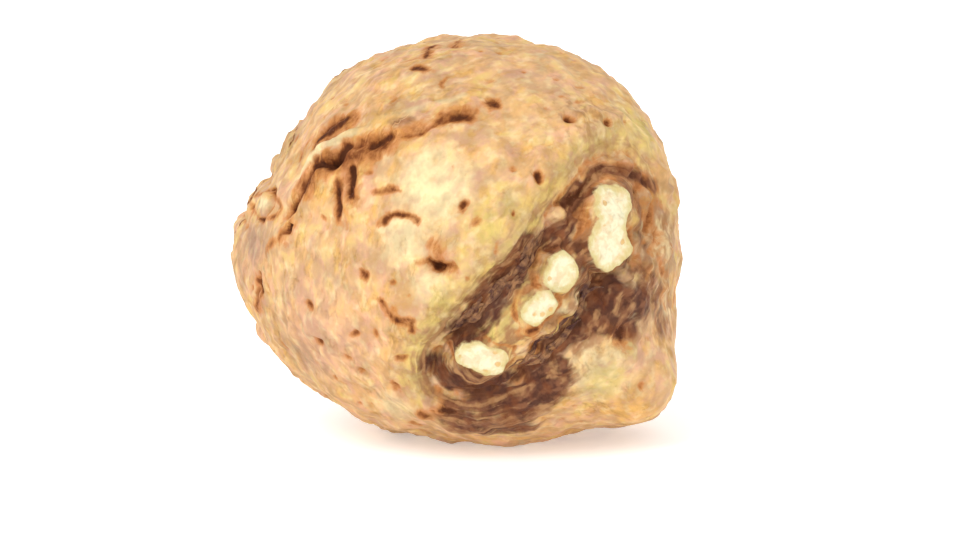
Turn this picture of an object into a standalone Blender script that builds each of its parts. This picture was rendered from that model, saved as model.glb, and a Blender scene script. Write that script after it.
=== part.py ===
"""A celeriac lying on its side: the swollen root, its cut crown and its trimmed root end, as one solid.

X runs to the right and Y away from the side it is mostly seen from, and Z is up. The origin is the
middle of its footprint on the surface it rests on. Sizes below are millimetres, and the finished
object is in metres.
"""

import math
import random

import bpy
import numpy as np
from mathutils import Vector, noise

NAME = "celeriac"
SEED = 58
NOISE_SEED = 1795753167
METRES_PER_MM = 0.001

# The body, as seen from a little above its front
LOOK_DOWN = math.radians(12.0)
HALF_WIDTH = 60.0
HALF_HEIGHT = 58.0
HALF_DEPTH = 57.0
MEAN_RADIUS = 60.0
BODY_MIDDLE = (0.5, -1.4, 56.6)

# Swellings and hollows of the body: where each points as right, up and near parts, how far it rises,
# and how many degrees it spreads
SWELLINGS = [
    ((-0.97, -0.14, -0.10), 4.5, 17.0),
    ((0.78, -0.65, 0.20), 12.5, 13.5),
    ((0.78, -0.65, -0.20), 12.5, 13.5),
    ((0.70, -0.56, 0.45), 6.0, 20.0),
    ((0.74, -0.52, -0.45), 6.5, 24.0),
    ((1.00, -0.05, 0.05), 2.5, 22.0),
    ((0.70, 0.68, 0.10), 4.0, 26.0),
    ((0.38, -0.92, 0.05), 4.5, 20.0),
    ((-0.84, 0.48, 0.05), -6.0, 24.0),
    ((-0.18, 0.98, 0.10), -1.5, 20.0),
    ((-0.35, -0.93, 0.10), -1.2, 20.0),
    ((-0.15, 0.45, 0.88), 2.5, 24.0),
    ((-0.55, -0.40, 0.73), 1.2, 26.0),
    ((0.25, 0.55, -0.80), 2.5, 28.0),
    ((0.10, -0.62, -0.78), -2.0, 24.0),
]

# Noise on the skin: size in millimetres, octaves and shift of each kind
LUMPS = (34.0, 2, 1.0)
LUMP_RISE = 1.8
KNOBS = (11.0, 3, 3.0)
KNOB_RISE = 0.8
WOBBLE = (16.0, 2, 7.0)
PATCHES = (7.0, 2, 5.0)

# What is drawn on the skin is shifted by noise of these sizes, by so many millimetres
WARPS = [(15.0, 1.6)]
RAGGED_WARPS = [(6.0, 0.9), (2.4, 0.4)]

# The crown: a row of cut leaf stalks in a dark, ringed hollow. Places are to the right and up.
CROWN_ROW = [(6.0, -36.0), (14.5, -28.0), (23.0, -19.9), (30.5, -10.5), (39.5, 0.5), (45.0, 9.0)]
CROWN_RIDGE_RISE = 2.2
CROWN_RIDGE_HALF = 6.0
CROWN_VALLEY_DEPTH = 3.4
CROWN_VALLEY_AT = 12.0
CROWN_VALLEY_HALF = 5.5
CROWN_RIM_RISE = 1.6
CROWN_RIM_AT = 25.0
CROWN_RIM_HALF = 6.0
CROWN_WOBBLE = 0.10
CROWN_FAR_END = (0.72, 1.0)
CROWN_FAR_VALLEY = 0.3
SCAR_STEP = 4.4
SCAR_RISE = 1.5
SCAR_ZONE = (6.0, 9.0, 18.0, 25.0)
SCAR_WOBBLE = 0.9
SCAR_RAGGED = 0.25
SCAR_SHARE = 0.55
SCAR_PATCHINESS = 0.9
SCAR_FAR_FADE = 0.6

# Cut leaf stalks: place, half length, half width, turn in degrees, rise, and the lean of the cut
STALKS = [
    ((42.2, 8.3), 7.2, 6.2, 75.0, 3.2, (-0.10, 0.02)),
    ((40.8, -1.0), 7.8, 7.2, 100.0, 3.2, (-0.12, -0.06)),
    ((27.6, -9.6), 5.9, 5.2, 55.0, 3.0, (0.05, 0.04)),
    ((22.0, -18.8), 5.7, 4.7, 30.0, 2.8, (-0.04, 0.05)),
    ((7.0, -32.3), 7.8, 4.8, -24.0, 2.4, (0.04, 0.12)),
]
STALK_SQUARENESS = 2.3
STALK_RAGGED = 0.16
STALK_EDGE = (0.90, 1.12)
STALK_GUTTER = 0.7
STALK_GUTTER_AT = 1.22
STALK_GUTTER_HALF = 0.20

# Dried stalk ends round the row: how many, their half widths, and how far they rise
DRY_ENDS = 16
DRY_END_HALF = (1.8, 3.2)
DRY_END_RISE = (0.9, 2.2)
DRY_END_ZONE = (10.0, 20.0)

# Small warts crowded on the shoulder at the far end of the row
WARTS = 34
WART_SHOULDER = (0.92, 0.08, 0.34)
WART_SPREAD = 13.0
WART_HALF = (1.3, 2.8)
WART_RISE = (0.5, 1.3)

# The root end, trimmed with a knife: the direction it points, and how its stubs are packed
ROOT_END = (-0.67, 0.22, -0.71)
ROOT_STUBS = 26
ROOT_STUB_SPACING = 9.2
ROOT_STUB_JITTER = (0.93, 1.07)
ROOT_STUB_TURN = 0.18
ROOT_STUB_LEAN = 0.20
ROOT_STUB_HALF = (4.8, 9.0)
ROOT_STUB_RISE = (2.2, 5.0)
ROOT_GAP_DEPTH = 4.8
ROOT_GAP_HALF = 0.32
ROOT_STUB_STRETCH = 1.1
ROOT_STRETCH_ZONE = (0.35, 0.75)
ROOT_CUT_EDGE = (0.62, 0.80)
ROOT_CUT_DROP = 0.45
ROOT_END_EDGE = (0.95, 1.7)
ROOT_END_FADE = (-0.45, 0.0)
ROOT_END_FADED = 0.25

# Side roots that run over the skin from the root end and fade out: how many, where they start and
# end in degrees from it, their half widths, rise, and the furrow on each side
SIDE_ROOTS = 15
SIDE_ROOT_START = (38.0, 46.0)
SIDE_ROOT_END = (66.0, 104.0)
SIDE_ROOT_HALF = (4.0, 7.5)
SIDE_ROOT_RISE = (1.2, 3.0)
SIDE_ROOT_TAPER = 0.45
SIDE_ROOT_FADE_FROM = 0.25
SIDE_ROOT_FRONT_LIMIT = 0.25
SIDE_FURROW_DEPTH = 1.6
SIDE_FURROW_AT = 1.25
SIDE_FURROW_HALF = 1.5
SIDE_ROOT_SWAY = 0.16

# Folds, each a crevice with an overlapping lip: its line, depth, half width, and lip rise and reach
FOLDS = [
    ([(-50.5, 2.5), (-44.7, 10.8), (-39.2, 19.0), (-33.3, 20.8), (-29.0, 25.0), (-23.0, 26.0)],
     2.4, 1.5, 1.5, 6.0),
    ([(-27.0, 24.5), (-21.5, 26.0), (-12.2, 28.6), (-4.8, 31.8), (1.7, 34.2), (9.0, 37.6)],
     0.9, 1.2, 0.9, 6.0),
    ([(-29.2, 21.0), (-28.9, 16.0), (-29.4, 10.6)], 2.6, 1.4, 0.8, 3.0),
    ([(-33.8, 14.5), (-32.8, 9.5), (-32.2, 5.2)], 1.5, 1.3, 0.5, 3.0),
    ([(-40.5, 26.0), (-35.0, 30.5), (-29.8, 34.6)], 2.0, 1.3, 1.2, 4.0),
    ([(-47.6, 0.4), (-46.4, 4.6)], 1.8, 1.3, 0.6, 3.0),
    ([(-20.0, 44.0), (-12.0, 46.0), (-4.0, 47.5), (4.0, 51.0)], 0.5, 2.0, 0.6, 6.0),
    ([(-57.5, -19.5), (-55.6, -13.5), (-55.0, -8.0)], 1.4, 1.4, 0.8, 4.0),
    ([(-18.0, -17.5), (-15.6, -22.8), (-10.6, -24.2)], 1.1, 1.4, 0.6, 3.0),
    ([(-21.5, 3.6), (-16.6, 6.4), (-11.4, 6.0), (-8.6, 3.2)], 0.7, 1.3, 1.0, 3.5),
    ([(-22.5, 11.8), (-18.0, 13.4), (-14.4, 12.8)], 0.6, 1.3, 0.8, 3.0),
    ([(-8.5, -5.6), (-3.6, -8.0), (0.6, -7.0)], 2.2, 1.8, 1.4, 4.5),
]
FOLD_RAGGED = 0.25
FOLD_SHARE = 0.75
FOLD_PATCHINESS = 0.8
FOLD_UNDER_LIP = -0.15
FOLD_ENDS = 0.15

# A thin root that lies along the largest fold: its line, half width and rise
STRAND = [(-46.5, 19.0), (-40.4, 24.5), (-36.1, 27.6), (-31.0, 29.9), (-24.5, 31.6)]
STRAND_HALF = 1.5
STRAND_RISE = 1.5

# A trimmed root away from the root end: place, half length, half width, turn, rise and lean
LONE_ROOTS = [((-53.4, 9.2), 3.8, 3.5, 0.0, 1.6, (-0.05, 0.0))]

# Pits and root scars: place, half width, depth, how many times longer than wide, and their turn
PITS = [
    ((1.7, 8.5), 1.6, 1.6, 1.5, 50.0), ((22.2, 16.5), 1.5, 1.8, 1.7, 85.0),
    ((-25.6, -10.5), 1.8, 1.4, 1.2, 120.0), ((31.6, 31.6), 1.5, 0.9, 1.3, 0.0),
    ((41.2, 31.3), 1.5, 0.9, 1.2, 30.0), ((15.1, 18.8), 1.3, 0.6, 1.2, 40.0),
    ((-40.7, -19.0), 1.6, 0.8, 1.2, 0.0), ((-38.4, -29.0), 1.8, 1.3, 1.2, 130.0),
    ((-28.4, -26.7), 1.3, 1.0, 1.2, 20.0), ((-23.0, -26.7), 1.3, 0.8, 1.3, 70.0),
    ((-14.8, -33.3), 1.7, 1.0, 1.5, 160.0), ((-16.8, -41.8), 1.6, 1.1, 1.6, 110.0),
    ((-30.4, -34.1), 1.2, 0.7, 1.2, 80.0), ((-26.7, -38.1), 1.3, 0.9, 1.3, 0.0),
    ((-4.5, -8.4), 1.7, 1.8, 1.9, 8.0), ((5.1, 3.7), 1.4, 0.8, 1.4, 60.0),
    ((-20.5, 27.0), 1.6, 1.3, 1.8, 20.0), ((10.2, 38.4), 1.9, 1.3, 1.6, 150.0),
    ((1.9, 33.6), 2.0, 1.3, 1.6, 10.0), ((-10.5, 47.2), 1.8, 1.0, 1.4, 10.0),
    ((-39.0, 21.0), 1.9, 1.8, 1.4, 30.0), ((-33.2, 22.0), 1.8, 1.8, 2.4, 60.0),
    ((45.6, -26.5), 2.6, 2.2, 1.5, 20.0), ((56.9, -9.1), 1.8, 1.2, 1.4, 90.0),
]
PIT_RIM = 0.3
PIT_RIM_AT = 1.9
PIT_RIM_HALF = 0.8

# Pits strewn over the far side: how many, and the ranges that their shapes are drawn from
FAR_PITS = 70
FAR_PIT_HALF = (1.1, 2.3)
FAR_PIT_DEPTH = (0.7, 1.6)
FAR_PIT_STRETCH = (1.0, 1.8)
FRONT_SHARE = 0.2

# The worked mesh: icosphere steps before the relief, and triangles kept after it
SPHERE_STEPS = 7
KEPT_TRIANGLES = 11400
SHARP_ANGLE = math.radians(50.0)

# The block that cuts the resting spot flat, from the resting plane down
CUTTER_DEPTH = 20.0

# Colour, roughness and metallic value of the skin
SKIN_COLOUR = (0.79, 0.55, 0.30, 1.0)
SKIN_ROUGHNESS = 0.62

# A gap that no relief reaches, in half widths
FAR_AWAY = 9.0

RIGHT = np.array((1.0, 0.0, 0.0))
UP = np.array((0.0, math.sin(LOOK_DOWN), math.cos(LOOK_DOWN)))
NEAR = np.array((0.0, -math.cos(LOOK_DOWN), math.sin(LOOK_DOWN)))


def unit(vector):
    """The same direction with a length of one."""
    vector = np.asarray(vector, dtype=float)
    return vector / np.linalg.norm(vector, axis=-1, keepdims=True)


def pointing(right, up, near):
    """A world direction from its right, up and near parts."""
    return unit(right * RIGHT + up * UP + near * NEAR)


def hill(gap, spread):
    """One at no gap, falling away smoothly past the spread."""
    return np.exp(-(gap / spread) ** 2)


def ease(low, high, value):
    """A smooth step from 0 at low to 1 at high."""
    share = np.clip((value - low) / (high - low), 0.0, 1.0)
    return share * share * (3.0 - 2.0 * share)


def grain(directions, size, octaves, shift):
    """Fractal noise on the skin, with lumps about size millimetres across."""
    scale = MEAN_RADIUS / size
    offset = Vector((shift, -shift, 0.5 * shift))
    return np.array([noise.fractal(Vector(d) * scale + offset, 1.0, 2.0, octaves)
                     for d in directions.tolist()])


def body_reach(directions):
    """How far the smooth body reaches from its middle in each direction."""
    right = directions @ RIGHT
    up = directions @ UP
    near = directions @ NEAR
    reach = 1.0 / np.sqrt((right / HALF_WIDTH) ** 2 + (up / HALF_HEIGHT) ** 2
                          + (near / HALF_DEPTH) ** 2)
    for parts, rise, spread in SWELLINGS:
        angle = np.degrees(np.arccos(np.clip(directions @ pointing(*parts), -1.0, 1.0)))
        reach = reach + rise * hill(angle, spread)
    return reach


def spot(place):
    """The direction of a place on the front of the skin, given as millimetres right and up."""
    right, up = place
    near = HALF_DEPTH
    for _ in range(12):
        direction = pointing(right, up, near)
        reach = body_reach(direction[None, :])[0]
        near = math.sqrt(max(reach ** 2 - right ** 2 - up ** 2, 1.0))
    return pointing(right, up, near)


def line_over_skin(places, steps=5):
    """Directions along a smooth line through places on the front of the skin."""
    knots = [spot(place) for place in places]
    knots = [2.0 * knots[0] - knots[1], *knots, 2.0 * knots[-1] - knots[-2]]
    line = []
    for a, b, c, d in zip(knots, knots[1:], knots[2:], knots[3:]):
        for step in range(steps):
            t = step / steps
            line.append(0.5 * (2.0 * b + (c - a) * t + (2.0 * a - 5.0 * b + 4.0 * c - d) * t ** 2
                               + (3.0 * b - a - 3.0 * c + d) * t ** 3))
    line.append(knots[-2])
    return unit(line)


def follow(line, directions):
    """For each direction, its distance from a line, the side it lies on, and how far along it is."""
    points = directions * MEAN_RADIUS
    nearest = np.full(len(points), np.inf)
    side = np.zeros(len(points))
    along = np.zeros(len(points))
    for index, (start, end) in enumerate(zip(line[:-1], line[1:])):
        run = (end - start) * MEAN_RADIUS
        share = np.clip((points - start * MEAN_RADIUS) @ run / (run @ run), 0.0, 1.0)
        gap = np.linalg.norm(points - start * MEAN_RADIUS - share[:, None] * run, axis=1)
        closer = gap < nearest
        nearest = np.where(closer, gap, nearest)
        side = np.where(closer, np.sign(points @ np.cross(start, end)), side)
        along = np.where(closer, (index + share) / (len(line) - 1), along)
    return nearest, side, along


def local_axes(centre, turn):
    """Two directions along the skin at a spot, the first turned so many degrees up from the right."""
    first = math.cos(math.radians(turn)) * RIGHT + math.sin(math.radians(turn)) * UP
    first = unit(first - (first @ centre) * centre)
    return first, np.cross(centre, first)


def warped(directions, warps):
    """Directions shifted by noise, so that what is drawn on the skin isn't regular."""
    shifted = directions.copy()
    for size, reach in warps:
        scale = MEAN_RADIUS / size
        moved = np.array([noise.noise_vector(Vector(d) * scale) for d in directions.tolist()])
        shifted += moved * (reach / MEAN_RADIUS)
    return shifted


def crown_relief(directions, wobble, patches):
    """Ridge, valley and rim round the row of stalks, with the stepped scars of fallen leaves."""
    gap, _, along = follow(line_over_skin(CROWN_ROW), directions)
    gap = gap * (1.0 + CROWN_WOBBLE * wobble)
    far_end = ease(*CROWN_FAR_END, along)
    relief = CROWN_RIDGE_RISE * hill(gap, CROWN_RIDGE_HALF)
    valley = CROWN_VALLEY_DEPTH * hill(gap - CROWN_VALLEY_AT, CROWN_VALLEY_HALF)
    relief -= valley * (1.0 + (CROWN_FAR_VALLEY - 1.0) * far_end)
    relief += CROWN_RIM_RISE * hill(gap - CROWN_RIM_AT, CROWN_RIM_HALF)
    phase = gap / SCAR_STEP + SCAR_WOBBLE * wobble + SCAR_RAGGED * patches
    step = phase - np.floor(phase)
    zone = ease(*SCAR_ZONE[:2], gap) * (1.0 - ease(*SCAR_ZONE[2:], gap))
    broken = zone * (SCAR_SHARE + SCAR_PATCHINESS * patches) * (1.0 - SCAR_FAR_FADE * far_end)
    broken = np.clip(broken, 0.0, 1.2)
    return relief + SCAR_RISE * (step * (1.0 - step ** 6) - 0.4) * broken


def cut_stub(reach, whole, directions, patches, centre, half_length, half_width, turn, rise, lean):
    """Raise a stub with a flat knife cut on top and a gutter round its foot, where no stub is cut yet."""
    first, second = local_axes(centre, turn)
    across = np.abs(directions @ first) * MEAN_RADIUS / half_length
    over = np.abs(directions @ second) * MEAN_RADIUS / half_width
    ring = (across ** STALK_SQUARENESS + over ** STALK_SQUARENESS) ** (1.0 / STALK_SQUARENESS)
    ring = np.where(directions @ centre > 0.5, ring * (1.0 + STALK_RAGGED * patches), FAR_AWAY)
    cut = unit(centre + lean[0] * RIGHT + lean[1] * UP)
    height = (body_reach(centre[None, :])[0] + rise) * (centre @ cut)
    flat = height / np.maximum(directions @ cut, 0.4)
    top = 1.0 - ease(*STALK_EDGE, ring)
    reach = reach - STALK_GUTTER * hill(ring - STALK_GUTTER_AT, STALK_GUTTER_HALF) * whole
    return reach + (flat - reach) * top, whole * (1.0 - top)


def dry_end_relief(directions, random_draw):
    """Small dried stalk ends strewn beside the row."""
    row = line_over_skin(CROWN_ROW)
    relief = np.zeros(len(directions))
    for _ in range(DRY_ENDS):
        anchor = row[random_draw.randrange(len(row))]
        first, second = local_axes(anchor, 0.0)
        angle = random_draw.uniform(0.0, math.tau)
        away = random_draw.uniform(*DRY_END_ZONE) / MEAN_RADIUS
        centre = unit(anchor + away * (math.cos(angle) * first + math.sin(angle) * second))
        half = random_draw.uniform(*DRY_END_HALF)
        gap = np.linalg.norm(directions - centre, axis=1) * MEAN_RADIUS
        relief += random_draw.uniform(*DRY_END_RISE) * (1.0 - ease(0.6 * half, 1.4 * half, gap))
    return relief


def wart_relief(directions, random_draw):
    """Warts scattered round one spot of the shoulder."""
    shoulder = pointing(*WART_SHOULDER)
    first, second = local_axes(shoulder, 0.0)
    relief = np.zeros(len(directions))
    for _ in range(WARTS):
        aside = random_draw.gauss(0.0, WART_SPREAD) / MEAN_RADIUS
        above = random_draw.gauss(0.0, 1.5 * WART_SPREAD) / MEAN_RADIUS
        centre = unit(shoulder + aside * first + above * second)
        gap = np.linalg.norm(directions - centre, axis=1) * MEAN_RADIUS
        relief += random_draw.uniform(*WART_RISE) * hill(gap, random_draw.uniform(*WART_HALF))
    return relief


def root_stub_seeds(random_draw):
    """Centres, sizes and stretch of the packed root stubs, spiralling out from the root end."""
    pole = pointing(*ROOT_END)
    first, second = local_axes(pole, 0.0)
    golden_turn = math.pi * (3.0 - math.sqrt(5.0))
    seeds = []
    for index in range(ROOT_STUBS):
        away = ROOT_STUB_SPACING * math.sqrt(index + 0.3) * random_draw.uniform(*ROOT_STUB_JITTER)
        tilt = away / MEAN_RADIUS
        angle = index * golden_turn + random_draw.uniform(-ROOT_STUB_TURN, ROOT_STUB_TURN)
        out = math.cos(angle) * first + math.sin(angle) * second
        centre = unit(math.cos(tilt) * pole + math.sin(tilt) * out)
        meridian = unit(out - (out @ centre) * centre)
        stretch = 1.0 + ROOT_STUB_STRETCH * ease(*ROOT_STRETCH_ZONE, tilt)
        lean = [random_draw.uniform(-ROOT_STUB_LEAN, ROOT_STUB_LEAN) for _ in range(2)]
        half = random_draw.uniform(*ROOT_STUB_HALF)
        seeds.append((centre, meridian, half, stretch, random_draw.uniform(*ROOT_STUB_RISE), lean))
    return seeds


def root_end_relief(reach, directions, random_draw):
    """Packed root stubs, each a dome with a knife cut, and the deep gaps between them."""
    seeds = root_stub_seeds(random_draw)
    nearest = np.full(len(directions), FAR_AWAY)
    second_nearest = np.full(len(directions), FAR_AWAY)
    owner = np.zeros(len(directions), dtype=int)
    rise = np.zeros(len(directions))
    for index, (centre, meridian, half, stretch, own_rise, _) in enumerate(seeds):
        along = (directions - centre) @ meridian * MEAN_RADIUS / (half * stretch)
        across = (directions - centre) @ np.cross(centre, meridian) * MEAN_RADIUS / half
        away = np.where(directions @ centre > 0.3, np.hypot(along, across), FAR_AWAY)
        closer = away < nearest
        second_nearest = np.where(closer, nearest, np.minimum(second_nearest, away))
        nearest = np.where(closer, away, nearest)
        owner = np.where(closer, index, owner)
        rise = np.where(closer, own_rise, rise)
    front = ease(*ROOT_END_FADE, directions @ NEAR)
    inside = (1.0 - ease(*ROOT_END_EDGE, nearest)) * (1.0 + (ROOT_END_FADED - 1.0) * front)
    dome = rise * np.clip(1.0 - nearest ** 2, -0.4, 1.0)
    gaps = ROOT_GAP_DEPTH * hill(second_nearest - nearest, ROOT_GAP_HALF)
    reach = reach + (dome - gaps) * inside
    for index, (centre, _, _, _, own_rise, lean) in enumerate(seeds):
        cut = unit(centre + lean[0] * RIGHT + lean[1] * UP)
        height = body_reach(centre[None, :])[0] + own_rise * ROOT_CUT_DROP
        flat = height * (centre @ cut) / np.maximum(directions @ cut, 0.4)
        share = (1.0 - ease(*ROOT_CUT_EDGE, nearest)) * (owner == index)
        reach = reach + (np.minimum(flat, reach) - reach) * share
    return reach


def side_root_relief(directions, random_draw):
    """Roots that lie along the skin away from the root end, on the sides that the front hides."""
    pole = pointing(*ROOT_END)
    first, second = local_axes(pole, 0.0)
    relief = np.zeros(len(directions))
    for index in range(SIDE_ROOTS):
        angle = math.tau * (index + random_draw.uniform(-0.3, 0.3)) / SIDE_ROOTS
        start = math.radians(random_draw.uniform(*SIDE_ROOT_START))
        end = math.radians(random_draw.uniform(*SIDE_ROOT_END))
        half = random_draw.uniform(*SIDE_ROOT_HALF)
        rise = random_draw.uniform(*SIDE_ROOT_RISE)
        sway = random_draw.uniform(-SIDE_ROOT_SWAY, SIDE_ROOT_SWAY)
        line = []
        for step in range(9):
            tilt = start + (end - start) * step / 8
            turn = angle + sway * math.sin(math.pi * step / 5)
            out = math.cos(turn) * first + math.sin(turn) * second
            line.append(unit(math.cos(tilt) * pole + math.sin(tilt) * out))
        if max(direction @ NEAR for direction in line) > SIDE_ROOT_FRONT_LIMIT:
            continue
        gap, _, along = follow(np.array(line), directions)
        fade = 1.0 - ease(SIDE_ROOT_FADE_FROM, 1.0, along)
        narrowed = half * (1.0 - SIDE_ROOT_TAPER * along)
        relief += rise * hill(gap, 0.8 * narrowed) * fade
        relief -= SIDE_FURROW_DEPTH * hill(gap - SIDE_FURROW_AT * narrowed, SIDE_FURROW_HALF) * fade
    return relief


def fold_relief(directions, patches):
    """Crevices with their overlapping lips, and the thin root beside the largest of them."""
    relief = np.zeros(len(directions))
    for places, depth, half, lip, lip_reach in FOLDS:
        gap, side, along = follow(line_over_skin(places), directions)
        gap = gap * (1.0 + FOLD_RAGGED * patches)
        fade = ease(0.0, FOLD_ENDS, along) * (1.0 - ease(1.0 - FOLD_ENDS, 1.0, along))
        broken = fade * np.clip(FOLD_SHARE + FOLD_PATCHINESS * patches, 0.25, 1.2)
        relief -= depth * hill(gap, half) * broken
        upper = lip * np.exp(-gap / lip_reach) * (1.0 - np.exp(-gap / half))
        relief += np.where(side > 0.0, upper, FOLD_UNDER_LIP * upper) * fade
    gap, _, along = follow(line_over_skin(STRAND), directions)
    fade = ease(0.0, FOLD_ENDS, along) * (1.0 - ease(0.8, 1.0, along))
    return relief + STRAND_RISE * np.sqrt(np.clip(1.0 - (gap / STRAND_HALF) ** 2, 0.0, 1.0)) * fade


def pit_relief(directions, random_draw):
    """Pits where fine roots were rubbed off: the plain ones in front, then those of the far side."""
    pits = [(spot(place), *shape) for place, *shape in PITS]
    while len(pits) < len(PITS) + FAR_PITS:
        centre = unit([random_draw.gauss(0.0, 1.0) for _ in range(3)])
        if centre @ NEAR < FRONT_SHARE:
            half = random_draw.uniform(*FAR_PIT_HALF)
            depth = random_draw.uniform(*FAR_PIT_DEPTH)
            stretch = random_draw.uniform(*FAR_PIT_STRETCH)
            pits.append((centre, half, depth, stretch, random_draw.uniform(0.0, 180.0)))
    relief = np.zeros(len(directions))
    for centre, half, depth, stretch, turn in pits:
        first, second = local_axes(centre, turn)
        away = (directions - centre) * MEAN_RADIUS
        gap = np.hypot(away @ first / stretch, away @ second)
        gap = np.where(directions @ centre > 0.0, gap, MEAN_RADIUS)
        relief -= depth * hill(gap, half)
        relief += PIT_RIM * depth * hill(gap - PIT_RIM_AT * half, PIT_RIM_HALF * half)
    return relief


def skin_reach(directions):
    """How far the finished skin reaches from the middle of the body in each direction."""
    random_draw = random.Random(SEED)
    wobble = grain(directions, *WOBBLE)
    patches = grain(directions, *PATCHES)
    uneven = unit(warped(directions, WARPS))
    ragged = warped(directions, RAGGED_WARPS)
    reach = body_reach(directions)
    reach += LUMP_RISE * grain(directions, *LUMPS)
    reach += KNOB_RISE * grain(directions, *KNOBS)
    reach = root_end_relief(reach, uneven, random_draw)
    reach += side_root_relief(ragged, random_draw)
    reach += crown_relief(ragged, wobble, patches)
    reach += dry_end_relief(ragged, random_draw)
    reach += wart_relief(ragged, random_draw)
    reach += fold_relief(ragged, patches)
    whole = np.ones(len(directions))
    for place, *shape in STALKS + LONE_ROOTS:
        reach, whole = cut_stub(reach, whole, ragged, patches, spot(place), *shape)
    return reach + pit_relief(ragged, random_draw)


def make_skin_material():
    """Pale tan root skin, dull and a little rough."""
    material = bpy.data.materials.new("celeriac_skin")
    material.use_nodes = True
    shader = material.node_tree.nodes["Principled BSDF"]
    shader.inputs["Base Color"].default_value = SKIN_COLOUR
    shader.inputs["Roughness"].default_value = SKIN_ROUGHNESS
    shader.inputs["Metallic"].default_value = 0.0
    material.diffuse_color = SKIN_COLOUR
    return material


def make_collection(name):
    """A collection of the scene with this name."""
    collection = bpy.data.collections.new(name)
    bpy.context.scene.collection.children.link(collection)
    return collection


def move_to(collection, thing):
    """Put a new object in one collection only."""
    for holder in list(thing.users_collection):
        holder.objects.unlink(thing)
    collection.objects.link(thing)


def apply_modifier(thing, modifier):
    """Make a modifier's result the object's own mesh."""
    with bpy.context.temp_override(object=thing, active_object=thing, selected_objects=[thing]):
        bpy.ops.object.modifier_apply(modifier=modifier.name)


def make_root(collection):
    """The whole celeriac from a fine sphere pushed out to its skin, then thinned to fewer triangles."""
    bpy.ops.mesh.primitive_ico_sphere_add(subdivisions=SPHERE_STEPS, radius=1.0)
    root = bpy.context.active_object
    root.name = NAME
    root.data.name = NAME
    move_to(collection, root)
    corners = np.empty(len(root.data.vertices) * 3)
    root.data.vertices.foreach_get("co", corners)
    directions = unit(corners.reshape(-1, 3))
    skin = directions * skin_reach(directions)[:, None] + np.array(BODY_MIDDLE)
    root.data.vertices.foreach_set("co", (skin * METRES_PER_MM).ravel())
    root.data.update()
    thin = root.modifiers.new("fewer triangles", "DECIMATE")
    thin.ratio = KEPT_TRIANGLES / len(root.data.polygons)
    apply_modifier(root, thin)
    root.data.materials.append(make_skin_material())
    return root


def cut_resting_spot(root, cutters):
    """Flatten the lowest part of the skin, where the celeriac rests."""
    depth = CUTTER_DEPTH * METRES_PER_MM
    width = 4.0 * HALF_WIDTH * METRES_PER_MM
    bpy.ops.mesh.primitive_cube_add(size=1.0, location=(0.0, 0.0, -0.5 * depth))
    block = bpy.context.active_object
    block.name = "resting_spot_cutter"
    block.scale = (width, width, depth)
    block.hide_render = True
    block.display_type = "WIRE"
    move_to(cutters, block)
    cut = root.modifiers.new("resting spot", "BOOLEAN")
    cut.operation = "DIFFERENCE"
    cut.object = block


def main():
    for old in list(bpy.data.objects):
        bpy.data.objects.remove(old, do_unlink=True)
    noise.seed_set(NOISE_SEED)
    parts = make_collection(NAME)
    cutters = make_collection("cutters")
    root = make_root(parts)
    cut_resting_spot(root, cutters)
    root.data.shade_smooth()
    root.data.set_sharp_from_angle(angle=SHARP_ANGLE)


main()
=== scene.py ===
"""A celeriac's finished look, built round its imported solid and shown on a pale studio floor.

The fine skin follows the same named places as the solid: the row of cut stalks in the ringed crown,
the folds on the shoulder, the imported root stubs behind, and the pits. Hair roots, dry leaf bases and
soil are separate pieces on it. Sizes are millimetres until a mesh is written, and then metres.
"""

import math
import random

import bmesh
import bpy
import numpy as np
from bpy.props import FloatProperty, FloatVectorProperty, IntProperty, PointerProperty
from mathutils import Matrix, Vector, noise


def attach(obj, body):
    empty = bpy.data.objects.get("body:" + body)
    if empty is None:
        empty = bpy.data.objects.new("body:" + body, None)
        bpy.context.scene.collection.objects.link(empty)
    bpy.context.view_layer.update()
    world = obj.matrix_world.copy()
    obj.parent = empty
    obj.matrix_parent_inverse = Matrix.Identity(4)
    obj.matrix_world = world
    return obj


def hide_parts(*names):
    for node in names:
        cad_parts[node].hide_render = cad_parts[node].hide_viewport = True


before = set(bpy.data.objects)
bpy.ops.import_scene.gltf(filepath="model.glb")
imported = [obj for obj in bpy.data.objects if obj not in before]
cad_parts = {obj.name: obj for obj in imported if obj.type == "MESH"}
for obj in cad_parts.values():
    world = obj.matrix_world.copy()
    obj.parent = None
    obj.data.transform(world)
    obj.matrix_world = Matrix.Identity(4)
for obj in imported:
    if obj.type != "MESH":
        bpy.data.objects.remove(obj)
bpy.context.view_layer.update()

bl_info = {
    "name": "Celeriac Finish",
    "version": (1, 0, 0),
    "blender": (4, 5, 0),
    "location": "3D View > Sidebar > Celeriac",
    "description": "Fine skin, hair roots, dry leaf bases and soil of a celeriac, and its studio stage",
    "category": "Object",
}

NODE = "celeriac"
BODY = "root"
METRES_PER_MM = 0.001

# The body, as seen from a little above its front
LOOK_DOWN = math.radians(12.0)
HALF_WIDTH = 60.0
HALF_HEIGHT = 58.0
HALF_DEPTH = 57.0
MEAN_RADIUS = 60.0
BODY_MIDDLE = (0.5, -1.4, 56.6)

# Where the random draws and the noise start
SEED = 58
NOISE_SEED = 1795753167

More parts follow.
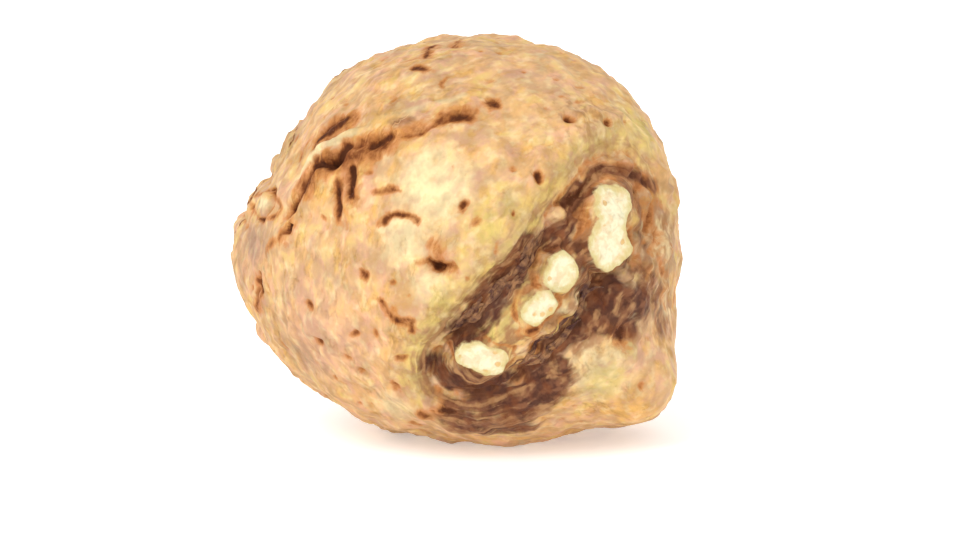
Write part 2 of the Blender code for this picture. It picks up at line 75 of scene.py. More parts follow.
# Swellings and hollows of the body: where each points as right, up and near parts, how far it rises,
# and how many degrees it spreads
SWELLINGS = [
    ((-0.97, -0.14, -0.1), 4.5, 17), ((0.78, -0.65, 0.2), 12.5, 13.5),
    ((0.78, -0.65, -0.2), 12.5, 13.5), ((0.7, -0.56, 0.45), 6, 20), ((0.74, -0.52, -0.45), 6.5, 24),
    ((1, -0.05, 0.05), 2.5, 22), ((0.7, 0.68, 0.1), 4, 26), ((0.38, -0.92, 0.05), 4.5, 20),
    ((-0.84, 0.48, 0.05), -6, 24), ((-0.18, 0.98, 0.1), -1.5, 20), ((-0.35, -0.93, 0.1), -1.2, 20),
    ((-0.15, 0.45, 0.88), 2.5, 24), ((-0.55, -0.4, 0.73), 1.2, 26), ((0.25, 0.55, -0.8), 2.5, 28),
    ((0.1, -0.62, -0.78), -2, 24),
]

# Noise on the skin: size in millimetres, octaves and shift of each kind
LUMPS = (34.0, 2, 1.0)
LUMP_RISE = 1.8
KNOBS = (11.0, 3, 3.0)
KNOB_RISE = 0.8
WOBBLE = (16.0, 2, 7.0)
PATCHES = (7.0, 2, 5.0)

# What is drawn on the skin is shifted by noise of these sizes, by so many millimetres
STUB_WARP = (15.0, 1.6)
RAGGED_WARPS = [(6.0, 0.9), (2.4, 0.4)]

# The crown: a row of cut leaf stalks in a dark, ringed hollow. Places are to the right and up.
CROWN_ROW = [(6, -36), (14.5, -28), (23, -19.9), (30.5, -10.5), (39.5, 0.5), (45, 9)]
CROWN_ROW_LENGTH = 62.0
CROWN_REACH = 34.0
CROWN_RIDGE_RISE = 2.2
CROWN_RIDGE_HALF = 6.0
CROWN_VALLEY_DEPTH = 3.4
CROWN_VALLEY_AT = 12.0
CROWN_VALLEY_HALF = 5.5
CROWN_RIM_RISE = 1.6
CROWN_RIM_AT = 25.0
CROWN_RIM_HALF = 6.0
CROWN_WOBBLE = 0.10
CROWN_FAR_END = (0.72, 1.0)
CROWN_FAR_LOSS = 0.7
SCAR_STEP = 4.4
SCAR_RISE = 1.5
SCAR_ZONE = ((6.0, 9.0), (18.0, 25.0))
RIB_RISE = 0.55
RIB_STEP = 2.1
RIB_LENGTH = 9.0
RIB_ZONE = ((3.0, 7.0), (19.0, 29.0))

# Cut leaf stalks: place, half length, half width, turn in degrees, rise, and the lean of the cut
STALKS = [
    ((41.6, 7.7), 7.4, 6.8, 75, 3.2, (-0.1, 0.02)), ((40.8, -1), 7.8, 7.2, 100, 3.2, (-0.12, -0.06)),
    ((27.6, -9.6), 5.9, 5.2, 55, 3, (0.05, 0.04)), ((22, -18.8), 5.7, 4.7, 30, 2.8, (-0.04, 0.05)),
    ((7, -32.3), 7.8, 4.8, -24, 2.4, (0.04, 0.12)),
]
STALK_SQUARENESS = 2.3
STALK_RAGGED = 0.20
STALK_GUTTER = 0.7
STALK_GUTTER_AT = 1.22
STALK_FLESH = 1.0
ROOT_FLESH = 0.3

# Dried stalk ends round the row: how many, their half widths, and how far they rise
DRY_ENDS = 16
DRY_END_HALF = (1.8, 3.2)
DRY_END_RISE = (0.9, 2.2)
DRY_END_ZONE = (10.0, 20.0)

# Small warts crowded on the shoulder at the far end of the row
WARTS = 34
WART_SHOULDER = (0.92, 0.08, 0.34)
WART_SPREAD = 13.0
WART_HALF = (1.3, 2.8)
WART_RISE = (0.5, 1.3)

# The root end, trimmed with a knife: the direction it points, and how its stubs are packed
ROOT_END = (-0.67, 0.22, -0.71)
ROOT_STUBS = 26
ROOT_STUB_SPACING = 9.2
ROOT_STUB_HALF = (4.8, 9.0)
ROOT_STUB_RISE = (2.2, 5.0)
ROOT_GAP_DEPTH = 4.8
ROOT_GAP_HALF = 0.32
ROOT_STUB_STRETCH = 1.1
ROOT_CUT_EDGE = (0.62, 0.80)
ROOT_CUT_DROP = 0.45

# Side roots that run over the skin from the root end and fade out
SIDE_ROOTS = 15
SIDE_ROOT_START = (38.0, 46.0)
SIDE_ROOT_END = (66.0, 104.0)
SIDE_ROOT_HALF = (4.0, 7.5)
SIDE_ROOT_RISE = (1.2, 3.0)
SIDE_FURROW_DEPTH = 1.6
SIDE_FURROW_HALF = 1.5
SIDE_ROOT_SWAY = 0.16

# Folds, each a crevice with an overlapping lip: its line, depth, half width, lip rise and reach, and
# how much soil it holds
FOLDS = [
    ([(-50.5, 2.5), (-44.7, 10.8), (-39.2, 19), (-33.3, 20.8), (-29, 25), (-23, 26)],
     2.4, 1.6, 1, 6, 0.8),
    ([(-27, 24.5), (-21.5, 26), (-12.2, 28.6), (-4.8, 31.8), (1.7, 34.2), (9, 37.6)],
     0.9, 1.2, 0.9, 6, 0.35),
    ([(-29.2, 21), (-28.9, 16), (-29.4, 10.6)], 2.6, 1.4, 0.8, 3, 1),
    ([(-33.8, 14.5), (-32.8, 9.5), (-32.2, 5.2)], 1.5, 1.3, 0.5, 3, 0.6),
    ([(-40.5, 26), (-35, 30.5), (-29.8, 34.6)], 2, 1.3, 1.2, 4, 0.9),
    ([(-47.6, 0.4), (-46.4, 4.6)], 1.8, 1.3, 0.6, 3, 0.8),
    ([(-20, 44), (-12, 46), (-4, 47.5), (4, 51)], 0.5, 2, 0.6, 6, 0),
    ([(-57.5, -19.5), (-55.6, -13.5), (-55, -8)], 1.4, 1.4, 0.8, 4, 0.4),
    ([(-18, -17.5), (-15.6, -22.8), (-10.6, -24.2)], 1.1, 1.4, 0.6, 3, 0.5),
    ([(-21.5, 3.6), (-16.6, 6.4), (-11.4, 6), (-8.6, 3.2)], 0.9, 1.5, 1.2, 3.5, 0.35),
    ([(-22.5, 11.8), (-18, 13.4), (-14.4, 12.8)], 0.7, 1.5, 0.9, 3, 0.35),
    ([(-8.5, -5.6), (-3.6, -8), (0.6, -7)], 2.2, 1.8, 1.4, 4.5, 0.7),
]

# A thin root that lies along the largest fold: its line, half width and rise
STRAND = [(-44.2, 17.4), (-38.8, 22.8), (-34.8, 25.8), (-30, 28.2), (-23.8, 30.2)]
STRAND_HALF = 1.15
STRAND_RISE = 1.1

# Single trimmed roots away from the root end: place, half length, half width, turn, rise and lean
LONE_ROOTS = [((-53.4, 9.2), 3.8, 3.5, 0.0, 1.6, (-0.05, 0.0))]

# Pits and root scars: place, half width, depth, how many times longer than wide, and their turn
PITS = [
    ((1.7, 8.5), 1.6, 1.6, 1.5, 50), ((22.2, 16.5), 1.5, 1.8, 1.7, 85),
    ((-25.6, -10.5), 1.8, 1.4, 1.2, 120), ((31, 32), 1.5, 1.5, 1.3, 0), ((40.7, 31), 1.5, 1.5, 1.2, 30),
    ((15.1, 18.8), 1.3, 0.6, 1.2, 40), ((-40.7, -19), 1.6, 0.8, 1.2, 0),
    ((-38.4, -29), 1.8, 1.3, 1.2, 130), ((-28.4, -26.7), 1.3, 1, 1.2, 20),
    ((-23, -26.7), 1.3, 0.8, 1.3, 70), ((-14.8, -33.3), 1.7, 1, 1.5, 160),
    ((-16.8, -41.8), 1.6, 1.1, 1.6, 110), ((-30.4, -34.1), 1.2, 0.7, 1.2, 80),
    ((-26.7, -38.1), 1.3, 0.9, 1.3, 0), ((-4.5, -8.4), 1.7, 1.8, 1.9, 8),
    ((5.1, 3.7), 1.4, 0.8, 1.4, 60), ((-20.5, 27), 1.6, 1.3, 1.8, 20),
    ((10.2, 38.4), 1.9, 0.7, 1.6, 150), ((1.9, 33.6), 2, 0.6, 1.6, 10),
    ((-10.5, 47.2), 1.8, 0.25, 1.4, 10), ((-39, 21), 1.9, 1.8, 1.4, 30),
    ((-33.2, 22), 1.8, 1.8, 2.4, 60), ((45.6, -26.5), 2.6, 2.2, 1.5, 20),
    ((56.9, -9.1), 1.8, 1.2, 1.4, 90),
]
FAR_PITS = 70
FAR_PIT_HALF = (1.1, 2.3)
FAR_PIT_DEPTH = (0.7, 1.6)

# Finer relief than the solid carries: size, octaves, rise and shift of each grain
FINE_GRAINS = [(6.5, 3, 0.60, 11.0), (2.6, 3, 0.10, 17.0)]
ROOT_FADE = (-0.45, 0.0)
SMOOTH_PATCHES = [((-4.0, 15.0), 20.0, 0.75), ((22.0, 42.0), 22.0, 0.45), ((-30.0, -8.0), 14.0, 0.3)]
FLAKE_SIZE = 10.0
FLAKE_RISE = 0.26
WRINKLE_SIZE = 9.0
WRINKLE_RISE = 0.50
WRINKLE_SQUEEZE = 2.6
SMALL_PITS = 110
SMALL_PIT_HALF = (0.6, 1.2)
SMALL_PIT_DEPTH = (0.25, 0.8)
SCAR_LEDGES = 110
SCAR_LEDGE_HALF = (2.0, 5.0)
SCAR_LEDGE_RISE = (0.2, 0.5)

# Patches of tint on the skin: place, spread and strength. Some pale patches are painted highlight, and
# the darkening patches are painted shade.
TINTS = {
    # Pale patches: partly the skin's own cream, partly painted highlight on the bulges facing the key
    # light at (-6, 14.5), (-14, 0) and (-8, -13), and painted light on the shaded lower right lobe at
    # (46, -43).
    "pale": [
        ((-6, 14.5), 13, 1), ((-14, 0), 10, 0.8), ((-3, 3), 6, 0.5), ((-8, -13), 7, 0.8),
        ((-17, -47), 9, 0.7), ((20, 30), 14, 0.35), ((-38, -2), 9, 0.35), ((46, -43), 13, 0.7),
        ((46.4, -29.6), 3, 0.8)],
    "blush": [
        ((-38, -28), 22, 0.8), ((-57, -4), 14, 0.8), ((-29, 47), 6, 0.8), ((14, 50), 14, 0.45),
        ((52, -34), 8, 0.6), ((-17, -54), 9, 0.5), ((30, 44), 8, 0.4), ((18, 47), 6, 0.7)],
    "ochre": [
        ((-22, 30), 12, 0.8), ((-16, 40), 9, 0.5), ((50, -50), 8, 0.9), ((29, -45), 6, 1),
        ((26, 14), 12, 0.5), ((0, 33), 7, 0.6), ((-16, -17), 9, 0.7), ((52, 4), 6, 0.7),
        ((-38, 14), 8, 0.9)],
    "green": [
        ((8, 3), 8, 0.9), ((14, 9), 9, 0.7), ((-3, -17), 7, 0.8), ((50, 30), 11, 0.9),
        ((21, 4), 7, 0.7), ((33, -24), 4, 0.9), ((41, -40), 8, 0.8), ((47, -31), 4, 0.7),
        ((-12, -33), 5, 0.6), ((3, -3), 6, 0.6)],
    "speck": [
        ((56, 0), 9, 1.1), ((58, -18), 10, 1.1), ((52, 16), 6, 0.8), ((36, 32), 15, 0.65),
        ((38, -22), 7, 0.4), ((10, -50), 10, 0.4)],
    # Painted shade: darker patches at the left tip, the upper left rim, the right strip and the bottom,
    # towards the edges of the body as seen from the front.
    "painted_shade": [
        ((-60, -4), 14, 1), ((-48, 28), 14, 0.9), ((-34, 46), 12, 0.7), ((58, 0), 15, 1),
        ((0, -46), 14, 0.5), ((44, -16), 12, 0.7), ((-45, -32), 16, 0.65), ((-32, -6), 10, 0.4),
        ((-18, 34), 8, 0.3), ((10, 54), 12, 0.3), ((-26, 24), 9, 0.4)],
}

# Strokes of colour along lines on the skin: places, half width and strength
STROKES = {
    "stain": [
        ([(1, -27.5), (5, -23.8), (9.6, -18.4), (14, -13), (17.6, -7.6), (19.8, -3.4)], 5.2, 1.05),
        ([(19.5, -3.5), (25, -0.5), (30, 1), (32.5, 5)], 2.8, 0.85),
        ([(32, 8.6), (35, 13.2)], 3.2, 1.35),
        ([(36.3, 16.4), (40.4, 19.4), (45.9, 18.5), (51.4, 16.4), (54, 14.5)], 2.3, 0.75),
        ([(27, -3.4), (30.5, -1.4)], 2.4, 0.9), ([(33.6, -3.4), (36.4, -1.4)], 2.4, 1),
        ([(34, -8), (39, -10), (45, -9)], 4.6, 0.65), ([(36, -16), (43, -18), (50, -18)], 6, 0.85),
        ([(48, -8), (54, -12), (57, -22)], 5, 0.5), ([(40, -23.5), (47, -25)], 3.4, 1.25),
        ([(44.5, -13.4), (40.5, -20.5), (34.8, -26), (27.5, -31), (20.5, -37.5)], 3.8, 1.1),
        ([(5, -39), (10, -41), (17, -40)], 3, 0.9),
        ([(3, -41), (9, -44.6), (16, -45.6), (23, -43), (26, -37)], 6.4, 1.2),
        ([(-1, -48), (7, -51.5), (18, -52)], 5.4, 0.8),
        ([(-7.5, -36), (-5, -39.5), (-1, -42.5)], 4, 0.85), ([(46, 16), (51.5, 8), (53, -2)], 3, 0.45),
        # The last stroke here, at (-17, 31.2) to (-12.5, 32.6) above the upper left fold, is a painted
        # shadow.
        ([(-3, -30), (0.5, -27)], 2.8, 0.6), ([(-17, 31.2), (-12.5, 32.6)], 2.6, 0.45)],
    "soil": [
        ([(32.2, 9.4), (34.4, 12.8)], 2.5, 0.95),
        ([(-56, -11.5), (-54.6, -15.5), (-55.6, -20)], 1.4, 0.75),
        ([(27.6, -3), (30, -1.5)], 1.4, 0.75), ([(34, -3.2), (36.2, -1.4)], 1.5, 0.85),
        ([(42.2, -25.2), (46, -26)], 2, 1), ([(23.5, -31.2), (26.3, -33.2)], 1.5, 0.8),
        ([(11.4, -13.5), (13.8, -10.5)], 1.7, 0.7), ([(38, -13), (42.5, -13.2)], 1.4, 0.7),
        ([(29, -27), (31.5, -24)], 1.4, 0.7), ([(6.4, -20.4), (8.8, -17.4)], 1.3, 0.6),
        ([(3.4, -43), (6.5, -45)], 1.8, 0.75), ([(13, -48), (14.5, -52)], 1.8, 0.7),
        ([(-4.4, -47.2), (-1.4, -48)], 2, 1.1), ([(-9.8, -47.4), (-8.4, -48.2)], 1.6, 0.95),
        ([(18.4, -24.6), (20.4, -24)], 1.5, 1), ([(17, -41), (20, -38.5)], 1.6, 0.6),
        ([(-38.8, 25.2), (-34.6, 28.8), (-30, 32.4)], 1.7, 1.15),
        ([(-39.4, 19.4), (-37, 20)], 2.2, 1.1), ([(-28.9, 19.4), (-28.7, 11)], 1.8, 1.15),
        ([(-32.6, 9.8), (-32.8, 5.6)], 1.6, 0.85), ([(-30.6, 25.6), (-33.8, 20)], 2.1, 0.9),
        ([(-22.6, 24.6), (-19, 27)], 1.9, 0.75), ([(-27, 27), (-24, 25.4)], 1.5, 0.7),
        ([(-6.6, 54.4), (-8.8, 50.4)], 1.4, 0.85), ([(-0.2, 56), (-0.4, 53.6)], 1.4, 0.7),
        ([(52, -8), (53, -10)], 1.4, 0.7), ([(-45.4, 9), (-43, 12.6)], 1.4, 0.55),
        ([(-49, -0.8), (-46.4, 3.6)], 1.3, 0.85), ([(-13.6, -22.6), (-11.8, -25.4)], 1.1, 0.35)],
    "rust": [
        ([(-42, 14.6), (-37, 19.8), (-31, 22), (-26, 23.8), (-20, 25.6)], 5.2, 1),
        ([(-24, 26.5), (-14, 28.6), (-5, 32.6), (3, 35)], 3.6, 0.66),
        ([(-44, 24), (-36, 29), (-28, 33)], 3.6, 0.55), ([(-31, 17), (-31, 6)], 4.4, 0.5),
        ([(52, 12), (56, -3), (57, -18)], 6, 0.42), ([(-32.6, 15.2), (-32.8, 6)], 2.2, 1.15),
        ([(-30, 25.4), (-33.6, 19.6)], 2.8, 1.15), ([(-23.2, 24.4), (-18.6, 27.4)], 2.4, 1.1),
        ([(-36.5, 26.6), (-30, 32)], 1.8, 0.8), ([(-10.4, 28.8), (-3.6, 33.2), (0.6, 35)], 1.3, 0.95),
        ([(-1, 33.6), (3.6, 33.6)], 2.2, 1.1), ([(9.4, 37.4), (11.2, 37.6)], 2.3, 1.05),
        ([(-11, 46.8), (-9, 46.6)], 2.1, 1.25), ([(-43.8, 11.4), (-39.4, 17.4)], 1.8, 0.95),
        ([(-52.4, -3.2), (-50.4, -1.6)], 2.4, 0.7), ([(-55.4, -12.6), (-54.6, -20.2)], 2.4, 0.7),
        ([(-21.9, 12.6), (-18.5, 13.6), (-15.1, 12.9)], 1.6, 0.8),
        ([(-21, 3.7), (-18.4, 5.8), (-16, 6.4), (-13.2, 5.8), (-10.5, 3.8)], 1.5, 1),
        ([(-20.5, -17.4), (-18, -21.6), (-15.8, -22.6), (-12, -22.6), (-12.2, -26)], 1.4, 1),
        ([(-5.7, -2.8), (-4.4, -6.2)], 3, 0.85), ([(-10.5, -6.6), (-7, -6.8)], 1.4, 0.7),
        ([(36.3, 16.4), (40.4, 19.4), (45.9, 18.5), (51.4, 16.4), (54, 14.5)], 2.8, 0.95),
        ([(50.4, 12.8), (51.2, 6.6)], 1.4, 0.8), ([(-13.8, 49.6), (-8.5, 51.4)], 2, 0.45),
        ([(-53.6, 5), (-57, 7), (-56.6, 11), (-53.4, 13.2), (-50, 11.2), (-49.4, 7), (-53, 5)],
         1.2, 0.8),
        ([(43.6, -29), (46.5, -30.5)], 1.8, 0.7), ([(49.5, 3), (50.5, -3)], 1.8, 0.6),
        ([(-36, 35), (-31, 38)], 2.6, 0.45), ([(-24, 36), (-18, 38.5)], 2.6, 0.4),
        ([(-12.8, -52), (-11, -53)], 1.8, 0.8), ([(-0.6, 52), (1.4, 52.2)], 2, 0.45)],
    "pale": [
        ([(-24.7, 31), (-12, 35.4), (2, 39.6)], 2, 0.6), ([(-54, 9.2), (-52.6, 9.2)], 2.2, 0.9),
        ([(-20, 2.2), (-15.5, 3.8), (-11.4, 2)], 1.6, 0.9), ([(29, -20.4), (35, -16.4)], 1.3, 1.2),
        ([(31.5, -27.5), (36.5, -22.5)], 1.2, 0.9),
        ([(-44, 17.4), (-38.6, 22.6), (-33.8, 26), (-24, 30)], 1.3, 1.2)],
    "green": [
        ([(8, -27), (14, -22.5), (19.5, -17)], 3.2, 1), ([(20.5, -12.5), (23, -8.5)], 2.2, 0.7),
        ([(27.5, -26.5), (30, -22)], 1.8, 0.8)],
}

# How strong and how wide the rust round a soil stroke is, against the stroke
RUST_SHARE = 0.85
RUST_REACH = 1.9

# Hair roots, dry leaf bases and grains of soil, in millimetres and degrees
LINE_STEPS = 9
ALONG_LINE = np.linspace(0.0, 1.0, LINE_STEPS + 1)
WHISKER_TILTS = (4.0, 80.0, 42.0)
WHISKER_BEND = 0.35
WHISKER_HALF = (0.20, 0.45)
LEAF_BASE_AWAY = (8.5, 14.5)
LEAF_BASE_LENGTH = (5.0, 10.0)
LEAF_BASE_HALF = (0.5, 0.9)
LEAF_BASE_BEND = 0.05
LEAF_BASE_CLEAR = 1.35
CRUMB_TRIES = 12000
CRUMB_SIZE = (0.12, 0.30)

# The stage, in metres: the floor's rings by radius and height, where the key light comes from and
# how wide it is, and how far in millimetres the camera aims right of and above the root's middle
FLOOR_RINGS = [(0.5, -0.0002), (2.0, -0.0002), (4.0, -0.0002), (5.0, 0.25), (5.6, 1.0), (5.8, 3.0)]
FLOOR_SIDES = 96
KEY_FROM = Vector((-0.55, -0.80, 1.00))
KEY_ANGLE = math.radians(35.0)
AIM_RIGHT = 6.5
AIM_UP = -9.1
MOST_TRIANGLES = 199900

# Rounds of smoothing after which hollows are read, and how deep in mm a full one is then
HOLLOW_DEPTHS = {10: 0.30, 80: 1.20}
MARKS = ("soil", "stain", "crown", "ring", "row", "cut", "core", "stalk", "pale", "blush", "ochre",
         "green", "rust", "speck", "painted_shade", "rough", "hollow")

RIGHT = np.array((1.0, 0.0, 0.0))
UP = np.array((0.0, math.sin(LOOK_DOWN), math.cos(LOOK_DOWN)))
NEAR = np.array((0.0, -math.cos(LOOK_DOWN), math.sin(LOOK_DOWN)))


def unit(vector):
    """The same direction with a length of one."""
    vector = np.asarray(vector, dtype=float)
    return vector / np.linalg.norm(vector, axis=-1, keepdims=True)


def pointing(right, up, near):
    """A world direction from its right, up and near parts."""
    return unit(right * RIGHT + up * UP + near * NEAR)


def hill(gap, spread):
    """One at no gap, falling away smoothly past the spread."""
    return np.exp(-(gap / spread) ** 2)


def ease(low, high, value):
    """A smooth step from 0 at low to 1 at high."""
    share = np.clip((value - low) / (high - low), 0.0, 1.0)
    return share * share * (3.0 - 2.0 * share)


def within(zone, value):
    """A smooth share that comes in over a zone's first span and goes out over its second."""
    return ease(*zone[0], value) * (1.0 - ease(*zone[1], value))


def grain(directions, size, octaves, shift):
    """Fractal noise on the skin, with lumps about size millimetres across."""
    scale = MEAN_RADIUS / size
    offset = Vector((shift, -shift, 0.5 * shift))
    return np.array([noise.fractal(Vector(d) * scale + offset, 1.0, 2.0, octaves)
                     for d in directions.tolist()])


def body_reach(directions):
    """How far the smooth body reaches from its middle in each direction."""
    right = directions @ RIGHT
    up = directions @ UP
    near = directions @ NEAR
    reach = 1.0 / np.sqrt((right / HALF_WIDTH) ** 2 + (up / HALF_HEIGHT) ** 2
                          + (near / HALF_DEPTH) ** 2)
    for parts, rise, spread in SWELLINGS:
        angle = np.degrees(np.arccos(np.clip(directions @ pointing(*parts), -1.0, 1.0)))
        reach = reach + rise * hill(angle, spread)
    return reach


def spot(place):
    """The direction of a place on the front of the skin, given as millimetres right and up."""
    right, up = place
    near = HALF_DEPTH
    for _ in range(12):
        direction = pointing(right, up, near)
        reach = body_reach(direction[None, :])[0]
        near = math.sqrt(max(reach ** 2 - right ** 2 - up ** 2, 1.0))
    return pointing(right, up, near)


def line_over_skin(places, steps=5):
    """Directions along a smooth line through places on the front of the skin."""
    knots = [spot(place) for place in places]
    knots = [2.0 * knots[0] - knots[1], *knots, 2.0 * knots[-1] - knots[-2]]
    line = []
    for a, b, c, d in zip(knots, knots[1:], knots[2:], knots[3:]):
        for step in range(steps):
            t = step / steps
            line.append(0.5 * (2.0 * b + (c - a) * t + (2.0 * a - 5.0 * b + 4.0 * c - d) * t ** 2
                               + (3.0 * b - a - 3.0 * c + d) * t ** 3))
    line.append(knots[-2])
    return unit(line)


def follow(line, directions):
    """For each direction, its distance from a line, how far it lies to its left, and how far along."""
    points = directions * MEAN_RADIUS
    nearest = np.full(len(points), np.inf)
    side = np.zeros(len(points))
    along = np.zeros(len(points))
    for index, (start, end) in enumerate(zip(line[:-1], line[1:])):
        run = (end - start) * MEAN_RADIUS
        share = np.clip((points - start * MEAN_RADIUS) @ run / (run @ run), 0.0, 1.0)
        gap = np.linalg.norm(points - start * MEAN_RADIUS - share[:, None] * run, axis=1)
        closer = gap < nearest
        nearest = np.where(closer, gap, nearest)
        side = np.where(closer, points @ unit(np.cross(start, end)), side)
        along = np.where(closer, (index + share) / (len(line) - 1), along)
    return nearest, side, along


def local_axes(centre, turn):
    """Two directions along the skin at a spot, the first turned so many degrees up from the right."""
    first = math.cos(math.radians(turn)) * RIGHT + math.sin(math.radians(turn)) * UP
    first = unit(first - (first @ centre) * centre)
    return first, np.cross(centre, first)


GROWTH_AXIS = unit(spot(CROWN_ROW[3]) - pointing(*ROOT_END))


def drift(directions, size, reach):
    """A shift of so many millimetres by noise, so that what is drawn on the skin isn't regular."""
    scale = MEAN_RADIUS / size
    shift = np.array([noise.noise_vector(Vector(d) * scale) for d in directions.tolist()])
    return shift * (reach / MEAN_RADIUS)


class Skin:
    """How far the skin reaches from the body's middle in many directions, with marks for its finish."""

    def __init__(self, directions):
        noise.seed_set(NOISE_SEED)
        self.directions = directions
        self.uneven = unit(directions + drift(directions, *STUB_WARP))
        self.ragged = directions.copy()
        for warp in RAGGED_WARPS:
            self.ragged += drift(directions, *warp)
        self.wobble = grain(directions, *WOBBLE)
        self.patchy = grain(directions, *PATCHES)
        self.reach = body_reach(directions)
        self.marks = {name: np.zeros(len(directions)) for name in MARKS}
        self.marks["ring"] += CROWN_REACH
        self.marks["core"] += 2.0
        self.marks["stalk"] += 2.0
        self.marks["rough"] += 1.0
        for place, spread, strength in SMOOTH_PATCHES:
            self.marks["rough"] -= strength * hill(self.gap_to(spot(place)), spread)

    def gap_to(self, centre):
        """Straight distance in mm from a spot on the skin."""
        return np.linalg.norm(self.ragged - centre, axis=1) * MEAN_RADIUS

    def around(self, centre, half, stretch=1.0, turn=0.0):
        """The directions near a spot, and their distance from it, as if it were stretched one way."""
        reach = (4.0 * half * stretch + 2.0) / MEAN_RADIUS
        near = np.flatnonzero(self.directions @ centre > math.cos(reach))
        first, second = local_axes(centre, turn)
        away = (self.ragged[near] - centre) * MEAN_RADIUS
        return near, np.hypot(away @ first / stretch, away @ second)

    def beside(self, line, reach):
        """The directions near a line, with their distance, side and share along it."""
        middle = unit(line.mean(axis=0))
        spread = math.acos(min(line @ middle)) + (reach + 2.0) / MEAN_RADIUS
        near = np.flatnonzero(self.directions @ middle > math.cos(min(spread, 3.0)))
        return near, *follow(line, self.ragged[near])

    def mark(self, name, near, amount):
        """Raise a mark to the given amount where it was lower."""
        self.marks[name][near] = np.maximum(self.marks[name][near], amount)


def raise_crown(skin):
    """Ridge, valley and rim round the row of stalks, with the stepped scars of fallen leaves."""
    near, gap, side, along = skin.beside(line_over_skin(CROWN_ROW), CROWN_REACH)
    wobble = skin.wobble[near]
    gap = gap * (1.0 + CROWN_WOBBLE * wobble)
    far_end = ease(*CROWN_FAR_END, along)
    sunk = 1.0 - CROWN_FAR_LOSS * far_end
    relief = CROWN_RIDGE_RISE * hill(gap, CROWN_RIDGE_HALF)
    relief -= CROWN_VALLEY_DEPTH * hill(gap - CROWN_VALLEY_AT, CROWN_VALLEY_HALF) * sunk
    relief += CROWN_RIM_RISE * hill(gap - CROWN_RIM_AT, CROWN_RIM_HALF)
    zone = within(SCAR_ZONE, gap)
    phase = gap / SCAR_STEP + 0.9 * wobble + 0.25 * skin.patchy[near]
    share = phase - np.floor(phase)
    broken = zone * (0.55 + 0.9 * skin.patchy[near]) * (1.0 - 0.6 * far_end)
    relief += SCAR_RISE * (share * (1.0 - share ** 6) - 0.4) * np.clip(broken, 0.0, 1.2)
    ribs = np.array([noise.fractal(Vector((across / RIB_STEP, down / RIB_LENGTH, 3.0)), 1.0, 2.0, 3)
                     for across, down in zip(gap, along * CROWN_ROW_LENGTH)])
    relief += RIB_RISE * ribs * within(RIB_ZONE, gap)
    skin.reach[near] += relief
    upper = ease(-7.0, 7.0, side)
    skin.mark("stain", near, 0.35 * hill(gap - 11.0, 5.0) * sunk)
    skin.mark("green", near, 0.7 * np.maximum(hill(gap - 20.0, 6.0) * upper, 0.8 * hill(gap, 6.0)))
    skin.mark("crown", near, (1.0 - ease(15.0, 27.0, gap)) * (1.0 - 0.3 * far_end))
    skin.marks["ring"][near] = np.minimum(gap, CROWN_REACH)
    skin.marks["row"][near] = along * CROWN_ROW_LENGTH


def raise_dry_ends(skin, random_draw):
    """Small dried stalk ends strewn beside the row."""
    row = line_over_skin(CROWN_ROW)
    for _ in range(DRY_ENDS):
        anchor = row[random_draw.randrange(len(row))]
        first, second = local_axes(anchor, 0.0)
        angle = random_draw.uniform(0.0, math.tau)
        away = random_draw.uniform(*DRY_END_ZONE) / MEAN_RADIUS
        centre = unit(anchor + away * (math.cos(angle) * first + math.sin(angle) * second))
        half = random_draw.uniform(*DRY_END_HALF)
        near, gap = skin.around(centre, half)
        rise = random_draw.uniform(*DRY_END_RISE)
        skin.reach[near] += rise * (1.0 - ease(0.6 * half, 1.4 * half, gap))
        skin.marks["stain"][near] *= 1.0 - 0.5 * hill(gap, half)


def raise_warts(skin, random_draw):
    """Warts scattered round one spot of the shoulder."""
    shoulder = pointing(*WART_SHOULDER)
    first, second = local_axes(shoulder, 0.0)
    for _ in range(WARTS):
        aside = random_draw.gauss(0.0, WART_SPREAD) / MEAN_RADIUS
        above = random_draw.gauss(0.0, 1.5 * WART_SPREAD) / MEAN_RADIUS
        rise = random_draw.uniform(*WART_RISE)
        half = random_draw.uniform(*WART_HALF)
        near, gap = skin.around(unit(shoulder + aside * first + above * second), half)
        skin.reach[near] += rise * hill(gap, half)


def cut_stub(skin, centre, half_length, half_width, turn, rise, lean, flesh):
    """Raise a stub with a flat knife cut on top and a gutter round its foot."""
    first, second = local_axes(centre, turn)
    across = np.abs(skin.ragged @ first) * MEAN_RADIUS / half_length
    over = np.abs(skin.ragged @ second) * MEAN_RADIUS / half_width
    ring = (across ** STALK_SQUARENESS + over ** STALK_SQUARENESS) ** (1.0 / STALK_SQUARENESS)
    ring = np.where(skin.directions @ centre > 0.5, ring * (1.0 + STALK_RAGGED * skin.patchy), 9.0)
    cut = unit(centre + lean[0] * RIGHT + lean[1] * UP)
    height = (body_reach(centre[None, :])[0] + rise) * (centre @ cut)
    flat = height / np.maximum(skin.directions @ cut, 0.4)
    whole = 1.0 - skin.marks["cut"]
    skin.reach -= STALK_GUTTER * hill(ring - STALK_GUTTER_AT, 0.20) * whole
    top = 1.0 - ease(0.90, 1.12, ring)
    skin.reach += (flat - skin.reach) * top
    skin.mark("soil", slice(None), (0.60 - 0.2 * flesh) * hill(ring - 1.26, 0.14) * whole)
    skin.marks["core"] = np.minimum(skin.marks["core"], ring)
    if flesh == STALK_FLESH:
        skin.marks["stalk"] = np.minimum(skin.marks["stalk"], ring)
    skin.mark("cut", slice(None), flesh * (1.0 - ease(0.86, 1.02, ring)))


